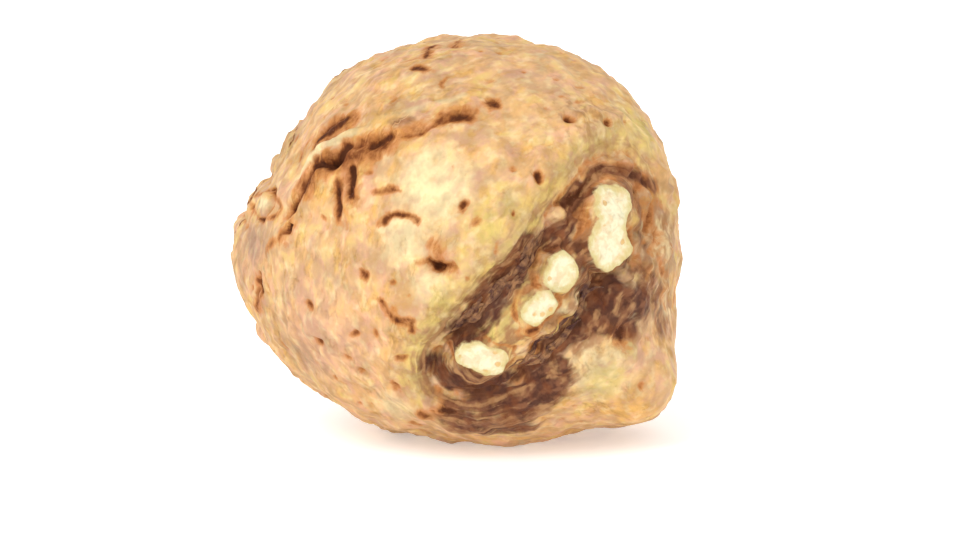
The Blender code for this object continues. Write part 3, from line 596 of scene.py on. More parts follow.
def root_stub_seeds(random_draw):
    """Centres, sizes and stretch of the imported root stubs, spiralling out from the root end."""
    pole = pointing(*ROOT_END)
    first, second = local_axes(pole, 0.0)
    golden_turn = math.pi * (3.0 - math.sqrt(5.0))
    seeds = []
    for index in range(ROOT_STUBS):
        away = ROOT_STUB_SPACING * math.sqrt(index + 0.3) * random_draw.uniform(0.93, 1.07)
        tilt = away / MEAN_RADIUS
        angle = index * golden_turn + random_draw.uniform(-0.18, 0.18)
        out = math.cos(angle) * first + math.sin(angle) * second
        centre = unit(math.cos(tilt) * pole + math.sin(tilt) * out)
        meridian = unit(out - (out @ centre) * centre)
        stretch = 1.0 + ROOT_STUB_STRETCH * ease(0.35, 0.75, tilt)
        lean = (random_draw.uniform(-0.20, 0.20), random_draw.uniform(-0.20, 0.20))
        half = random_draw.uniform(*ROOT_STUB_HALF)
        seeds.append((centre, meridian, half, stretch, random_draw.uniform(*ROOT_STUB_RISE), lean))
    return seeds


def raise_root_end(skin, random_draw):
    """Packed root stubs, each a dome with a knife cut, and the deep gaps between them."""
    seeds = root_stub_seeds(random_draw)
    nearest = np.full(len(skin.directions), 9.0)
    second_nearest = np.full(len(skin.directions), 9.0)
    owner = np.zeros(len(skin.directions), dtype=int)
    rise = np.zeros(len(skin.directions))
    for index, (centre, meridian, half, stretch, own_rise, _) in enumerate(seeds):
        along = (skin.uneven - centre) @ meridian * MEAN_RADIUS / (half * stretch)
        across = (skin.uneven - centre) @ np.cross(centre, meridian) * MEAN_RADIUS / half
        away = np.where(skin.uneven @ centre > 0.3, np.hypot(along, across), 9.0)
        closer = away < nearest
        second_nearest = np.where(closer, nearest, np.minimum(second_nearest, away))
        nearest = np.where(closer, away, nearest)
        owner = np.where(closer, index, owner)
        rise = np.where(closer, own_rise, rise)
    inside = (1.0 - ease(0.95, 1.7, nearest)) * (1.0 - 0.75 * ease(*ROOT_FADE, skin.directions @ NEAR))
    dome = rise * np.clip(1.0 - nearest ** 2, -0.4, 1.0)
    seam = hill(second_nearest - nearest, ROOT_GAP_HALF)
    skin.reach += (dome - ROOT_GAP_DEPTH * seam) * inside
    skin.mark("soil", slice(None), 0.9 * hill(second_nearest - nearest, 0.8 * ROOT_GAP_HALF) * inside)
    for index, (centre, _, _, _, own_rise, lean) in enumerate(seeds):
        cut = unit(centre + lean[0] * RIGHT + lean[1] * UP)
        height = body_reach(centre[None, :])[0] + own_rise * ROOT_CUT_DROP
        flat = height * (centre @ cut) / np.maximum(skin.uneven @ cut, 0.4)
        share = (1.0 - ease(*ROOT_CUT_EDGE, nearest)) * (owner == index)
        trimmed = np.minimum(flat, skin.reach)
        bare = ease(0.10, 0.45, skin.reach - trimmed) * (1.0 - ease(0.58, 0.72, nearest))
        bare = bare * (owner == index)
        skin.reach += (trimmed - skin.reach) * share
        skin.marks["core"] = np.where(bare > 0.3, nearest / 0.70, skin.marks["core"])
        skin.mark("cut", slice(None), 0.75 * bare)


def raise_side_roots(skin, random_draw):
    """Roots that lie along the skin away from the root end, on the sides that the front hides."""
    pole = pointing(*ROOT_END)
    first, second = local_axes(pole, 0.0)
    for index in range(SIDE_ROOTS):
        angle = math.tau * (index + random_draw.uniform(-0.3, 0.3)) / SIDE_ROOTS
        start = math.radians(random_draw.uniform(*SIDE_ROOT_START))
        end = math.radians(random_draw.uniform(*SIDE_ROOT_END))
        half = random_draw.uniform(*SIDE_ROOT_HALF)
        rise = random_draw.uniform(*SIDE_ROOT_RISE)
        sway = random_draw.uniform(-SIDE_ROOT_SWAY, SIDE_ROOT_SWAY)
        line = []
        for step in range(9):
            tilt = start + (end - start) * step / 8
            turn = angle + sway * math.sin(math.pi * step / 5)
            out = math.cos(turn) * first + math.sin(turn) * second
            line.append(unit(math.cos(tilt) * pole + math.sin(tilt) * out))
        if max(direction @ NEAR for direction in line) > 0.25:
            continue
        near, gap, _, along = skin.beside(np.array(line), 3.0 * half)
        fade = 1.0 - ease(0.25, 1.0, along)
        narrowed = half * (1.0 - 0.45 * along)
        skin.reach[near] += rise * hill(gap, 0.8 * narrowed) * fade
        skin.reach[near] -= SIDE_FURROW_DEPTH * hill(gap - 1.25 * narrowed, SIDE_FURROW_HALF) * fade
        skin.mark("soil", near, 0.5 * hill(gap - 1.25 * narrowed, 0.6 * SIDE_FURROW_HALF) * fade)
        skin.mark("blush", near, 0.5 * hill(gap, narrowed) * fade)


def fold_skin(skin):
    """Crevices with their overlapping lips, and the thin root beside the largest of them."""
    for places, depth, half, lip, lip_reach, soil in FOLDS:
        near, gap, side, along = skin.beside(line_over_skin(places), 3.0 * lip_reach)
        gap = gap * (1.0 + 0.25 * skin.patchy[near])
        fade = ease(0.0, 0.15, along) * (1.0 - ease(0.85, 1.0, along))
        broken = fade * np.clip(0.75 + 0.8 * skin.patchy[near], 0.25, 1.2)
        upper = lip * np.exp(-gap / lip_reach) * (1.0 - np.exp(-gap / half))
        skin.reach[near] -= depth * hill(gap, half) * broken
        skin.reach[near] += np.where(side > 0.0, upper, -0.15 * upper) * fade
        skin.mark("soil", near, soil * hill(gap, 0.9 * half) * broken)
        skin.mark("rust", near, 0.8 * soil * hill(gap, 2.2 * half) * fade)
    near, gap, _, along = skin.beside(line_over_skin(STRAND), 4.0)
    fade = ease(0.0, 0.15, along) * (1.0 - ease(0.8, 1.0, along))
    skin.reach[near] += STRAND_RISE * np.sqrt(np.clip(1.0 - (gap / STRAND_HALF) ** 2, 0.0, 1.0)) * fade
    skin.mark("pale", near, 0.9 * hill(gap, STRAND_HALF) * fade)
    skin.marks["soil"][near] *= 1.0 - hill(gap, STRAND_HALF) * fade


def dig_pits(skin, random_draw):
    """Pits where fine roots were rubbed off: those in front, then the far ones and the small ones."""
    pits = [(spot(place), *shape) for place, *shape in PITS]
    while len(pits) < len(PITS) + FAR_PITS:
        centre = unit([random_draw.gauss(0.0, 1.0) for _ in range(3)])
        if centre @ NEAR < 0.2:
            pits.append((centre, random_draw.uniform(*FAR_PIT_HALF), random_draw.uniform(*FAR_PIT_DEPTH),
                         random_draw.uniform(1.0, 1.8), random_draw.uniform(0.0, 180.0)))
    for _ in range(SMALL_PITS):
        centre = unit([random_draw.gauss(0.0, 1.0) for _ in range(3)])
        pits.append((centre, random_draw.uniform(*SMALL_PIT_HALF), random_draw.uniform(*SMALL_PIT_DEPTH),
                     random_draw.uniform(1.0, 2.0), random_draw.uniform(0.0, 180.0)))
    for centre, half, depth, stretch, turn in pits:
        near, gap = skin.around(centre, half, stretch, turn)
        skin.reach[near] -= depth * hill(gap, half)
        skin.reach[near] += 0.3 * depth * hill(gap - 1.9 * half, 0.8 * half)
        skin.mark("soil", near, min(0.9, 0.10 + 0.40 * depth) * hill(gap, half))


def raise_scar_ledges(skin, random_draw):
    """Short crescent ledges that lie across the root's axis, left by rubbed-off rootlets."""
    for _ in range(SCAR_LEDGES):
        centre = unit([random_draw.gauss(0.0, 1.0) for _ in range(3)])
        lean = random_draw.gauss(0.0, 0.3)
        half = random_draw.uniform(*SCAR_LEDGE_HALF)
        rise = random_draw.uniform(*SCAR_LEDGE_RISE)
        across = unit(np.cross(centre, GROWTH_AXIS))
        across = math.cos(lean) * across + math.sin(lean) * np.cross(centre, across)
        near, gap = skin.around(centre, half)
        away = (skin.ragged[near] - centre) * MEAN_RADIUS
        aside = away @ across
        above = away @ np.cross(centre, across) + 0.10 * aside ** 2
        held = hill(aside, 0.7 * half) * (1.0 - ease(2.5 * half, 4.0 * half, gap))
        skin.reach[near] += rise * hill(above - 1.0, 1.0) * held
        skin.reach[near] -= 0.6 * rise * hill(above + 0.6, 0.8) * held
        skin.mark("soil", near, 0.9 * rise * hill(above + 0.6, 0.8) * held)


def roughen(skin):
    """Fine lumps, wrinkles across the root's axis and flaked patches, least on the smooth bulges."""
    amount = skin.marks["rough"] * (1.0 - 0.9 * skin.marks["cut"])
    for size, octaves, rise, shift in FINE_GRAINS:
        skin.reach += rise * grain(skin.directions, size, octaves, shift) * amount
    squeezed = skin.ragged + np.outer(skin.ragged @ GROWTH_AXIS, GROWTH_AXIS) * WRINKLE_SQUEEZE
    skin.reach += WRINKLE_RISE * grain(squeezed, 3.0 * WRINKLE_SIZE, 4, 23.0) * amount
    skin.reach += FLAKE_RISE * ease(0.0, 0.14, grain(skin.ragged, FLAKE_SIZE, 3, 31.0)) * amount


def survey(directions):
    """The finished skin in each direction."""
    random_draw = random.Random(SEED)
    skin = Skin(directions)
    skin.reach += LUMP_RISE * grain(directions, *LUMPS)
    skin.reach += KNOB_RISE * grain(directions, *KNOBS)
    raise_root_end(skin, random_draw)
    raise_side_roots(skin, random_draw)
    raise_crown(skin)
    raise_dry_ends(skin, random_draw)
    raise_warts(skin, random_draw)
    fold_skin(skin)
    for place, *shape in STALKS:
        cut_stub(skin, spot(place), *shape, STALK_FLESH)
    for place, *shape in LONE_ROOTS:
        cut_stub(skin, spot(place), *shape, ROOT_FLESH)
    dig_pits(skin, random_draw)
    raise_scar_ledges(skin, random_draw)
    roughen(skin)
    for name, patches in TINTS.items():
        for place, spread, strength in patches:
            skin.mark(name, slice(None), strength * hill(skin.gap_to(spot(place)), spread))
    for name, strokes in STROKES.items():
        for places, half, strength in strokes:
            near, gap, _, _ = skin.beside(line_over_skin(places), 3.0 * half)
            skin.mark(name, near, strength * hill(gap, half))
            if name == "soil":
                skin.mark("rust", near, RUST_SHARE * strength * hill(gap, RUST_REACH * half))
    return skin


def mesh_corners(mesh):
    """Where each vertex of a mesh is."""
    corners = np.empty(len(mesh.vertices) * 3)
    mesh.vertices.foreach_get("co", corners)
    return corners.reshape(-1, 3)


def mark_hollows(mesh):
    """How deep each vertex lies below what is round it, as a mark between 0 and 1."""
    height = np.linalg.norm(mesh_corners(mesh), axis=1)
    ends = np.empty(len(mesh.edges) * 2, dtype=int)
    mesh.edges.foreach_get("vertices", ends)
    first, second = ends[0::2], ends[1::2]
    count = np.bincount(ends, minlength=len(height))
    level = height.copy()
    hollow = np.zeros(len(height))
    for step in range(1, max(HOLLOW_DEPTHS) + 1):
        total = np.bincount(first, level[second], len(height))
        total = total + np.bincount(second, level[first], len(height))
        level = 0.5 * level + 0.5 * total / count
        if step in HOLLOW_DEPTHS:
            hollow += np.clip((level - height) / HOLLOW_DEPTHS[step], 0.0, 1.0) / len(HOLLOW_DEPTHS)
    return hollow


class Value:
    """A shader number or colour that Python's arithmetic signs work on, adding Math nodes."""

    def __init__(self, paint, socket):
        self.paint = paint
        self.socket = socket

    def _with(self, operation, first, second):
        return self.paint.add("ShaderNodeMath", {"operation": operation}, {0: first, 1: second})

    def __add__(self, other):
        return self._with("ADD", self, other)

    def __radd__(self, other):
        return self._with("ADD", other, self)

    def __sub__(self, other):
        return self._with("SUBTRACT", self, other)

    def __rsub__(self, other):
        return self._with("SUBTRACT", other, self)

    def __mul__(self, other):
        return self._with("MULTIPLY", self, other)

    def __rmul__(self, other):
        return self._with("MULTIPLY", other, self)

    def __abs__(self):
        return self._with("ABSOLUTE", self, 0.0)

    def step(self, low, high):
        """A smooth step from 0 at low to 1 at high."""
        return self.paint.add("ShaderNodeMapRange", {"interpolation_type": "SMOOTHSTEP"},
                              {"Value": self, "From Min": low, "From Max": high})


class Paint:
    """Builds one material's nodes."""

    def __init__(self, name):
        self.material = bpy.data.materials.new(name)
        self.material.use_nodes = True
        self.nodes = self.material.node_tree.nodes
        self.links = self.material.node_tree.links
        self.shader = self.nodes["Principled BSDF"]
        place = self.add("ShaderNodeTexCoord", {}, {}, "Object")
        self.place = self.add("ShaderNodeVectorMath", {"operation": "SCALE"},
                              {0: place, "Scale": 1.0 / METRES_PER_MM})

    def connect(self, value, socket):
        """Set a socket to a number or colour, or link a Value to it."""
        if isinstance(value, Value):
            self.links.new(value.socket, socket)
        else:
            socket.default_value = value

    def add(self, kind, settings, inputs, output=0):
        """Add a node with its settings, then its inputs, and give one of its outputs."""
        node = self.nodes.new(kind)
        for name, setting in settings.items():
            setattr(node, name, setting)
        for key, value in inputs.items():
            self.connect(value, node.inputs[key])
        return Value(self, node.outputs[output])

    def mix(self, mask, first, second):
        """Colour between two, by a mask."""
        return self.add("ShaderNodeMix", {"data_type": "RGBA"}, {0: mask, 6: first, 7: second}, 2)

    def noise(self, size, detail=3.0, roughness=0.55, distortion=0.0, place=None, output=0):
        """Noise with blobs about size millimetres across, around one half."""
        return self.add("ShaderNodeTexNoise", {}, {
            "Vector": place or self.place, "Scale": 1.0 / size, "Detail": detail,
            "Roughness": roughness, "Distortion": distortion}, output)

    def three_noises(self, size, detail, roughness, distortion, place):
        """Three unlike noises of one size, around one half."""
        together = self.noise(size, detail, roughness, distortion, place, "Color")
        split = self.add("ShaderNodeSeparateColor", {}, {"Color": together})
        return [Value(self, socket) for socket in split.socket.node.outputs]

    def cells(self, size):
        """Distance to scattered points about size millimetres apart."""
        return self.add("ShaderNodeTexVoronoi", {}, {"Vector": self.place, "Scale": 1.0 / size})

    def shaded(self, colour, amount):
        """A colour made darker or lighter by an amount around one."""
        return self.add("ShaderNodeVectorMath", {"operation": "SCALE"}, {0: colour, "Scale": amount})

    def most(self, first, second):
        """The larger of two values."""
        return self.add("ShaderNodeMath", {"operation": "MAXIMUM"}, {0: first, 1: second})

    def mark(self, name):
        """A mark that the mesh carries at its points."""
        return self.add("ShaderNodeAttribute", {"attribute_name": name}, {}, "Fac")

    def stretched(self, axis, amount):
        """Places stretched along an axis, so that noise on them lies in bands across it."""
        along = self.add("ShaderNodeVectorMath", {"operation": "DOT_PRODUCT"},
                         {0: self.place, 1: tuple(axis)}, "Value")
        shift = self.add("ShaderNodeVectorMath", {"operation": "SCALE"},
                         {0: tuple(axis), "Scale": along * amount})
        return self.add("ShaderNodeVectorMath", {"operation": "ADD"}, {0: self.place, 1: shift})

    def finish(self, colour, roughness, height, **constants):
        """Feed the shader: colour, roughness, a height in millimetres, and constant settings."""
        self.connect(colour, self.shader.inputs["Base Color"])
        self.connect(roughness, self.shader.inputs["Roughness"])
        bump = self.add("ShaderNodeBump", {}, {"Distance": METRES_PER_MM, "Height": height,
                                               "Strength": 1.0})
        self.connect(bump, self.shader.inputs["Normal"])
        self.settings(**constants)
        return self.material

    def settings(self, **constants):
        """Set the shader's own sockets to values that are the same all over."""
        for name, value in constants.items():
            self.shader.inputs[name.replace("_", " ")].default_value = value


def skin_material(look):
    """Knobbly root skin: buff with cream and peach patches, green shoulders, brown crown and pits, with
    painted highlight on the front bulge and painted shade towards the edges.
    """
    paint = Paint("celeriac_skin")
    marks = {name: paint.mark(name) for name in MARKS}
    broad = paint.noise(11.0, 4.0, 0.6)
    patchy = paint.noise(4.0, 4.0, 0.65, 0.6)
    fleck = paint.noise(1.5, 3.0, 0.7)
    across = paint.stretched(GROWTH_AXIS, 0.6)
    pink, orange, olive = paint.three_noises(6.5, 3.0, 0.50, 0.2, across)
    warm, cool, light = paint.three_noises(3.4, 2.5, 0.50, 0.0, across)
    bands = paint.noise(5.0, 4.0, 0.65, 0.6, paint.stretched(GROWTH_AXIS, 2.4))
    over = paint.add("ShaderNodeCombineXYZ", {}, {"X": marks["ring"] * 0.50,
                                                  "Y": marks["row"] * 0.12, "Z": broad})
    streak = paint.noise(1.0, 2.0, 0.50, 0.1, over)
    upright = paint.noise(2.4, 2.5, 0.55, 0.2, paint.stretched((0.0, 0.0, 1.0), -0.60))
    crease = (1.0 - abs(bands - 0.5).step(0.0, 0.03)) * orange.step(0.46, 0.60) * marks["rough"]
    tone = (cool - 0.5) * 0.7 + (olive - 0.5) * 1.5 + (broad - 0.5) * 1.1

    colour = paint.mix(broad.step(0.36, 0.62), look.buff, look.tan)
    colour = paint.mix(pink.step(0.48, 0.64) * 0.70, colour, look.peach)
    colour = paint.mix(orange.step(0.50, 0.66) * 0.70, colour, look.ochre)
    colour = paint.mix(olive.step(0.52, 0.68) * 0.50, colour, look.green)
    # Cream where the pale mark is: the skin's own pale patches, and painted highlight on the bulges that
    # face the key light.
    colour = paint.mix((marks["pale"] * 1.2 + patchy - 0.5).step(0.25, 1.05), colour, look.cream)
    colour = paint.mix((marks["blush"] + bands - 0.5).step(0.20, 1.0) * 0.85, colour, look.peach)
    colour = paint.mix((marks["ochre"] + patchy - 0.5).step(0.25, 1.0) * 0.85, colour, look.ochre)
    colour = paint.mix((marks["green"] + cool - 0.5).step(0.20, 0.9) * 0.80, colour, look.green)
    colour = paint.mix(warm.step(0.50, 0.70) * 0.40, colour, look.peach)
    colour = paint.mix(cool.step(0.50, 0.70) * 0.35, colour, look.tan)
    colour = paint.mix(light.step(0.48, 0.72) * 0.45, colour, look.cream)
    # Random tone, darkened by the painted shade patches towards the edges of the body.
    colour = paint.shaded(colour, 0.80 + tone.step(-0.35, 0.35) * 0.38 - marks["painted_shade"] * 0.28)
    speck = marks["speck"] * 0.5 + upright - 0.5
    colour = paint.mix(speck.step(0.22, 0.52) * 0.7, colour, look.dry)
    colour = paint.mix((marks["speck"] * 0.5 + 0.5 - upright).step(0.30, 0.58) * 0.7, colour, look.cream)

    lines = streak * 0.5 + warm * 0.5
    colour = paint.mix(marks["crown"] * lines.step(0.42, 0.60) * 0.85, colour, look.dry)
    # The stain mask is mostly the crown's own stain, and it also carries the painted shadow stroke above
    # the upper left fold.
    stain = marks["stain"] * 1.38 - marks["pale"] * 0.6 + (streak - 0.5) * 1.9 + (broad - 0.5) * 0.5
    stain = (stain + (patchy - 0.5) * 0.4).step(0.10, 0.90)
    stain_colour = paint.mix((streak * 0.6 + cool * 0.4).step(0.44, 0.58), look.stain, look.faded)
    worn = (light * 0.3 + streak * 0.7).step(0.53, 0.66) * 0.50
    stain_colour = paint.mix(worn, stain_colour, look.tan)
    stain_colour = paint.mix((pink * 0.5 + warm * 0.5).step(0.48, 0.64) * 0.50, stain_colour, look.rust)
    colour = paint.mix(stain * 0.96, colour, stain_colour)

    earth = paint.most(marks["soil"] * 1.20, marks["rust"] * 0.95) + marks["hollow"] * 0.40
    earth = earth - marks["pale"] * 0.25 + (patchy - 0.5) * 0.8 + (bands - 0.5) * 0.8
    earth = earth + (warm - 0.5) * 0.5 + crease * 0.12
    bright = 1.0 - stain * 0.9
    colour = paint.mix(earth.step(0.20, 0.66) * bright * 0.75, colour, look.amber)
    colour = paint.mix(earth.step(0.52, 1.10) * bright * 0.92, colour, look.rust)
    colour = paint.mix(earth.step(0.90, 1.35) * 0.95, colour, look.soil)

    fibre = paint.noise(0.9, 2.0, 0.5)
    core = marks["core"] + (patchy - 0.5) * 0.5
    flesh = paint.mix((fibre * 0.3 + patchy * 0.7).step(0.44, 0.62) * 0.6, look.flesh, look.cream)
    flesh = paint.mix(cool.step(0.46, 0.62) * 0.38, flesh, look.buff)
    flesh = paint.mix((core + (light - 0.5) * 0.8).step(0.50, 0.95) * 0.65, flesh, look.green)
    dots = (0.12 + fleck * 0.30 - paint.cells(3.8)).step(0.0, 0.12) * (0.9 - core).step(0.0, 0.2)
    flesh = paint.mix(dots * 0.7, flesh, look.ochre)
    flesh = paint.mix(core.step(0.90, 1.10) * 0.5, flesh, look.dry)
    stalk = (0.96 - marks["stalk"] + (fleck - 0.5) * 0.10).step(-0.03, 0.03)
    scar = (marks["cut"] + (fleck - 0.5) * 0.3).step(0.35, 0.65) * (marks["stalk"] - 1.3).step(0.0, 0.1)
    colour = paint.mix(paint.most(stalk, scar), colour, flesh)

    roughness = 0.56 + 0.16 * patchy + 0.14 * earth.step(0.3, 1.0) - 0.10 * marks["cut"]
    bare = marks["rough"] * (1.0 - marks["cut"] * 0.85)
    height = (patchy * 0.26 + fleck * 0.05 + bands * 0.14 + light * 0.08) * (0.25 + 0.75 * bare)
    height = height - crease * 0.10
    height = height + streak * 0.30 * marks["crown"] * (1.0 - marks["cut"]) + fibre * 0.03 - dots * 0.15
    return paint.finish(colour, roughness, height, Subsurface_Weight=0.08, Subsurface_Scale=0.0010,
                        Subsurface_Radius=(1.0, 0.55, 0.30), Specular_IOR_Level=0.14)


def fibre_material(name, first, second, size):
    """Dull fibrous stuff that varies between two colours."""
    paint = Paint(name)
    grainy = paint.noise(size, 4.0, 0.65, 0.5)
    fine = paint.noise(0.35 * size, 2.0, 0.6)
    colour = paint.mix((grainy * 0.7 + fine * 0.3).step(0.38, 0.62), first, second)
    return paint.finish(colour, 0.72 + 0.18 * fine, grainy * 0.15 + fine * 0.10)


def plain_material(name, colour, roughness, glow):
    """One even colour that may give light of its own."""
    paint = Paint(name)
    paint.settings(Base_Color=colour, Roughness=roughness, Emission_Color=(1.0, 1.0, 1.0, 1.0),
                   Emission_Strength=glow)
    return paint.material


class Shape:
    """Corners and faces gathered for one mesh, in millimetres about the body's middle."""

    def __init__(self):
        self.corners = []
        self.faces = []

    def tube(self, points, radii, sides=6, flat=1.0):
        """A strand along points, with a radius at each and closed ends, flattened against the skin."""
        start = len(self.corners)
        for index, (point, radius) in enumerate(zip(points, radii)):
            tangent = unit(points[min(index + 1, len(points) - 1)] - points[max(index - 1, 0)])
            outward = unit(point - (point @ tangent) * tangent)
            aside = np.cross(tangent, outward)
            for side in range(sides):
                turn = math.tau * side / sides
                away = flat * math.cos(turn) * outward + math.sin(turn) * aside
                self.corners.append(point + radius * away)
        for ring in range(len(points) - 1):
            low = start + ring * sides
            for side in range(sides):
                across = (side + 1) % sides
                self.faces.append((low + side, low + across, low + sides + across, low + sides + side))
        self.faces.append(tuple(range(start + sides - 1, start - 1, -1)))
        last = start + (len(points) - 1) * sides
        self.faces.append(tuple(range(last, last + sides)))

    def crumb(self, centre, size, random_draw):
        """A small angular grain."""
        start = len(self.corners)
        corners, faces = CRUMB_CAGE
        squash = np.array([random_draw.uniform(0.6, 1.3) for _ in range(3)])
        for corner in corners:
            self.corners.append(centre + corner * squash * size * random_draw.uniform(0.75, 1.2))
        self.faces.extend(tuple(start + index for index in face) for face in faces)

    def build(self, name, material, rides):
        """Make the object on the celeriac's body, in metres in the row's frame."""
        mesh = bpy.data.meshes.new(name)
        corners = (np.array(self.corners) + np.array(BODY_MIDDLE)) * METRES_PER_MM
        corners[:, 2] = np.maximum(corners[:, 2], 0.00005)
        mesh.from_pydata(corners.tolist(), [], self.faces)
        mesh.materials.append(material)
        mesh.shade_smooth()
        thing = bpy.data.objects.new(name, mesh)
        bpy.context.scene.collection.objects.link(thing)
        if rides:
            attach(thing, BODY)
        return thing


def crumb_cage():
    """Corners and faces of an icosahedron of radius one."""
    golden = (1.0 + math.sqrt(5.0)) / 2.0
    corners = []
    for one in (-1.0, 1.0):
        for far in (-golden, golden):
            corners += [(0.0, one, far), (one, far, 0.0), (far, 0.0, one)]
    corners = unit(corners)
    edge = 4.0 / math.sqrt(1.0 + golden ** 2) / 2.0 * 1.05
    faces = []
    for a in range(12):
        for b in range(a + 1, 12):
            for c in range(b + 1, 12):
                sides = [np.linalg.norm(corners[i] - corners[j]) for i, j in ((a, b), (b, c), (a, c))]
                if max(sides) < edge:
                    normal = np.cross(corners[b] - corners[a], corners[c] - corners[a])
                    faces.append((a, b, c) if normal @ corners[a] > 0.0 else (a, c, b))
    return corners, faces


CRUMB_CAGE = crumb_cage()


def near_skin(lines, lifts, clear=0.0):
    """Places over the skin for lines lifted off it by so many mm, without those too near a cut stub."""
    together = np.concatenate(lines)
    skin = survey(together)
    places = together * (skin.reach + np.concatenate(lifts))[:, None]
    ends = np.cumsum([len(line) for line in lines])[:-1]
    cores = np.split(skin.marks["core"], ends)
    return [points for points, core in zip(np.split(places, ends), cores) if core.min() >= clear]


def wandering_line(start, heading, length, bend, random_draw):
    """Directions that wander over the skin from a start."""
    first, second = local_axes(start, 0.0)
    ahead = math.cos(heading) * first + math.sin(heading) * second
    line = [start]
    turn = random_draw.uniform(-bend, bend)
    for _ in range(LINE_STEPS):
        here = line[-1]
        ahead = unit(ahead - (ahead @ here) * here)
        ahead = unit(ahead + turn * np.cross(here, ahead))
        turn += random_draw.uniform(-0.5 * bend, 0.5 * bend)
        line.append(unit(here + ahead * length / LINE_STEPS / MEAN_RADIUS))
    return np.array(line)


def colour_setting(name, description, red, green, blue):
    """A colour that a user can change."""
    return FloatVectorProperty(name=name, description=description, size=4, subtype="COLOR",
                               default=(red, green, blue, 1.0))


class SkinLook(bpy.types.PropertyGroup):
    """Detail and colours of the skin."""

    sphere_steps: IntProperty(name="Sphere steps", default=8, min=5, max=9,
                              description="Times the sphere under the skin is divided")
    triangles: IntProperty(name="Triangles", description="Triangles kept in the skin", default=195000,
                           min=20000, max=199000)
    buff: colour_setting("Buff", "Main skin colour", 0.64, 0.395, 0.200)
    cream: colour_setting("Cream", "Palest skin", 0.72, 0.565, 0.310)
    tan: colour_setting("Tan", "Darker skin patches", 0.56, 0.320, 0.130)
    peach: colour_setting("Peach", "Warm skin patches", 0.63, 0.345, 0.220)
    ochre: colour_setting("Ochre", "Orange-yellow patches", 0.62, 0.340, 0.090)
    green: colour_setting("Green", "Yellow-green shoulders", 0.53, 0.410, 0.120)
    stain: colour_setting("Stain", "Dark skin in the crown", 0.062, 0.016, 0.010)
    faded: colour_setting("Faded stain", "Worn purple-brown skin in the crown", 0.185, 0.071, 0.034)
    dry: colour_setting("Dry", "Dried brown skin", 0.29, 0.135, 0.052)
    soil: colour_setting("Soil", "Soil in the crevices", 0.070, 0.018, 0.005)
    rust: colour_setting("Rust", "Red-brown of pits and folds", 0.175, 0.045, 0.009)
    amber: colour_setting("Amber", "Orange-brown round pits and folds", 0.49, 0.180, 0.044)
    flesh: colour_setting("Flesh", "Cut stalks and roots", 0.78, 0.72, 0.50)


class TrimmingLook(bpy.types.PropertyGroup):
    """What clings to the skin."""

    whiskers: IntProperty(name="Hair roots", default=90, min=0, max=400,
                          description="Fine roots left round the root end")
    whisker_length: FloatProperty(name="Hair root length", default=9.0, min=1.0, max=30.0,
                                  description="Longest hair root in millimetres")
    leaf_bases: IntProperty(name="Leaf bases", description="Dry leaf bases in the crown", default=60,
                            min=0, max=600)
    crumbs: IntProperty(name="Crumbs", description="Grains of soil in the crevices", default=320,
                        min=0, max=2000)


class StageLook(bpy.types.PropertyGroup):
    """Floor, lights and camera."""

    floor: colour_setting("Floor", "Floor and backdrop colour", 0.94, 0.94, 0.94)
    glow: FloatProperty(name="Glow", default=0.32, min=0.0,
                        description="Light the floor itself gives, as a lit white sheet does")
    key: FloatProperty(name="Key", default=1.65, min=0.0,
                       description="Strength of the light from the upper left")
    fill: FloatProperty(name="Fill", description="Strength of the white light from all round",
                        default=0.76, min=0.0)
    lens: FloatProperty(name="Lens", description="Focal length of the camera in millimetres",
                        default=300.0, min=20.0)
    distance: FloatProperty(name="Distance", description="From the camera to the middle of the root",
                            default=2.275, min=0.2, subtype="DISTANCE", unit="LENGTH")


class CELERIAC_OT_skin(bpy.types.Operator):
    """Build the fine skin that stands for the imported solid"""

    bl_idname = "celeriac.skin"
    bl_label = "Skin"

    def execute(self, context):
        look = context.scene.celeriac_skin
        sheet = bmesh.new()
        bmesh.ops.create_icosphere(sheet, subdivisions=look.sphere_steps, radius=1.0)
        mesh = bpy.data.meshes.new("celeriac_skin")
        sheet.to_mesh(mesh)
        sheet.free()
        directions = unit(mesh_corners(mesh))
        corners = directions * survey(directions).reach[:, None]
        corners[:, 2] = np.maximum(corners[:, 2], -BODY_MIDDLE[2])
        mesh.vertices.foreach_set("co", corners.ravel())
        piece = bpy.data.objects.new("celeriac_skin", mesh)
        context.scene.collection.objects.link(piece)
        thin = piece.modifiers.new("fewer triangles", "DECIMATE")
        thin.ratio = look.triangles / len(mesh.polygons)
        thinned = bpy.data.meshes.new_from_object(piece.evaluated_get(context.evaluated_depsgraph_get()))
        piece.modifiers.clear()
        piece.data = thinned
        bpy.data.meshes.remove(mesh)
        marks = survey(unit(mesh_corners(thinned))).marks
        marks["hollow"] = mark_hollows(thinned)
        for name in MARKS:
            layer = thinned.attributes.new(name, "FLOAT", "POINT")
            layer.data.foreach_set("value", marks[name].astype(np.float32))
        corners = (mesh_corners(thinned) + np.array(BODY_MIDDLE)) * METRES_PER_MM
        thinned.vertices.foreach_set("co", corners.ravel())
        thinned.materials.append(skin_material(look))
        thinned.shade_smooth()
        thinned.update()
        if len(thinned.polygons) > MOST_TRIANGLES:
            raise RuntimeError("the skin has too many triangles")
        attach(piece, BODY)
        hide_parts(NODE)
        return {"FINISHED"}


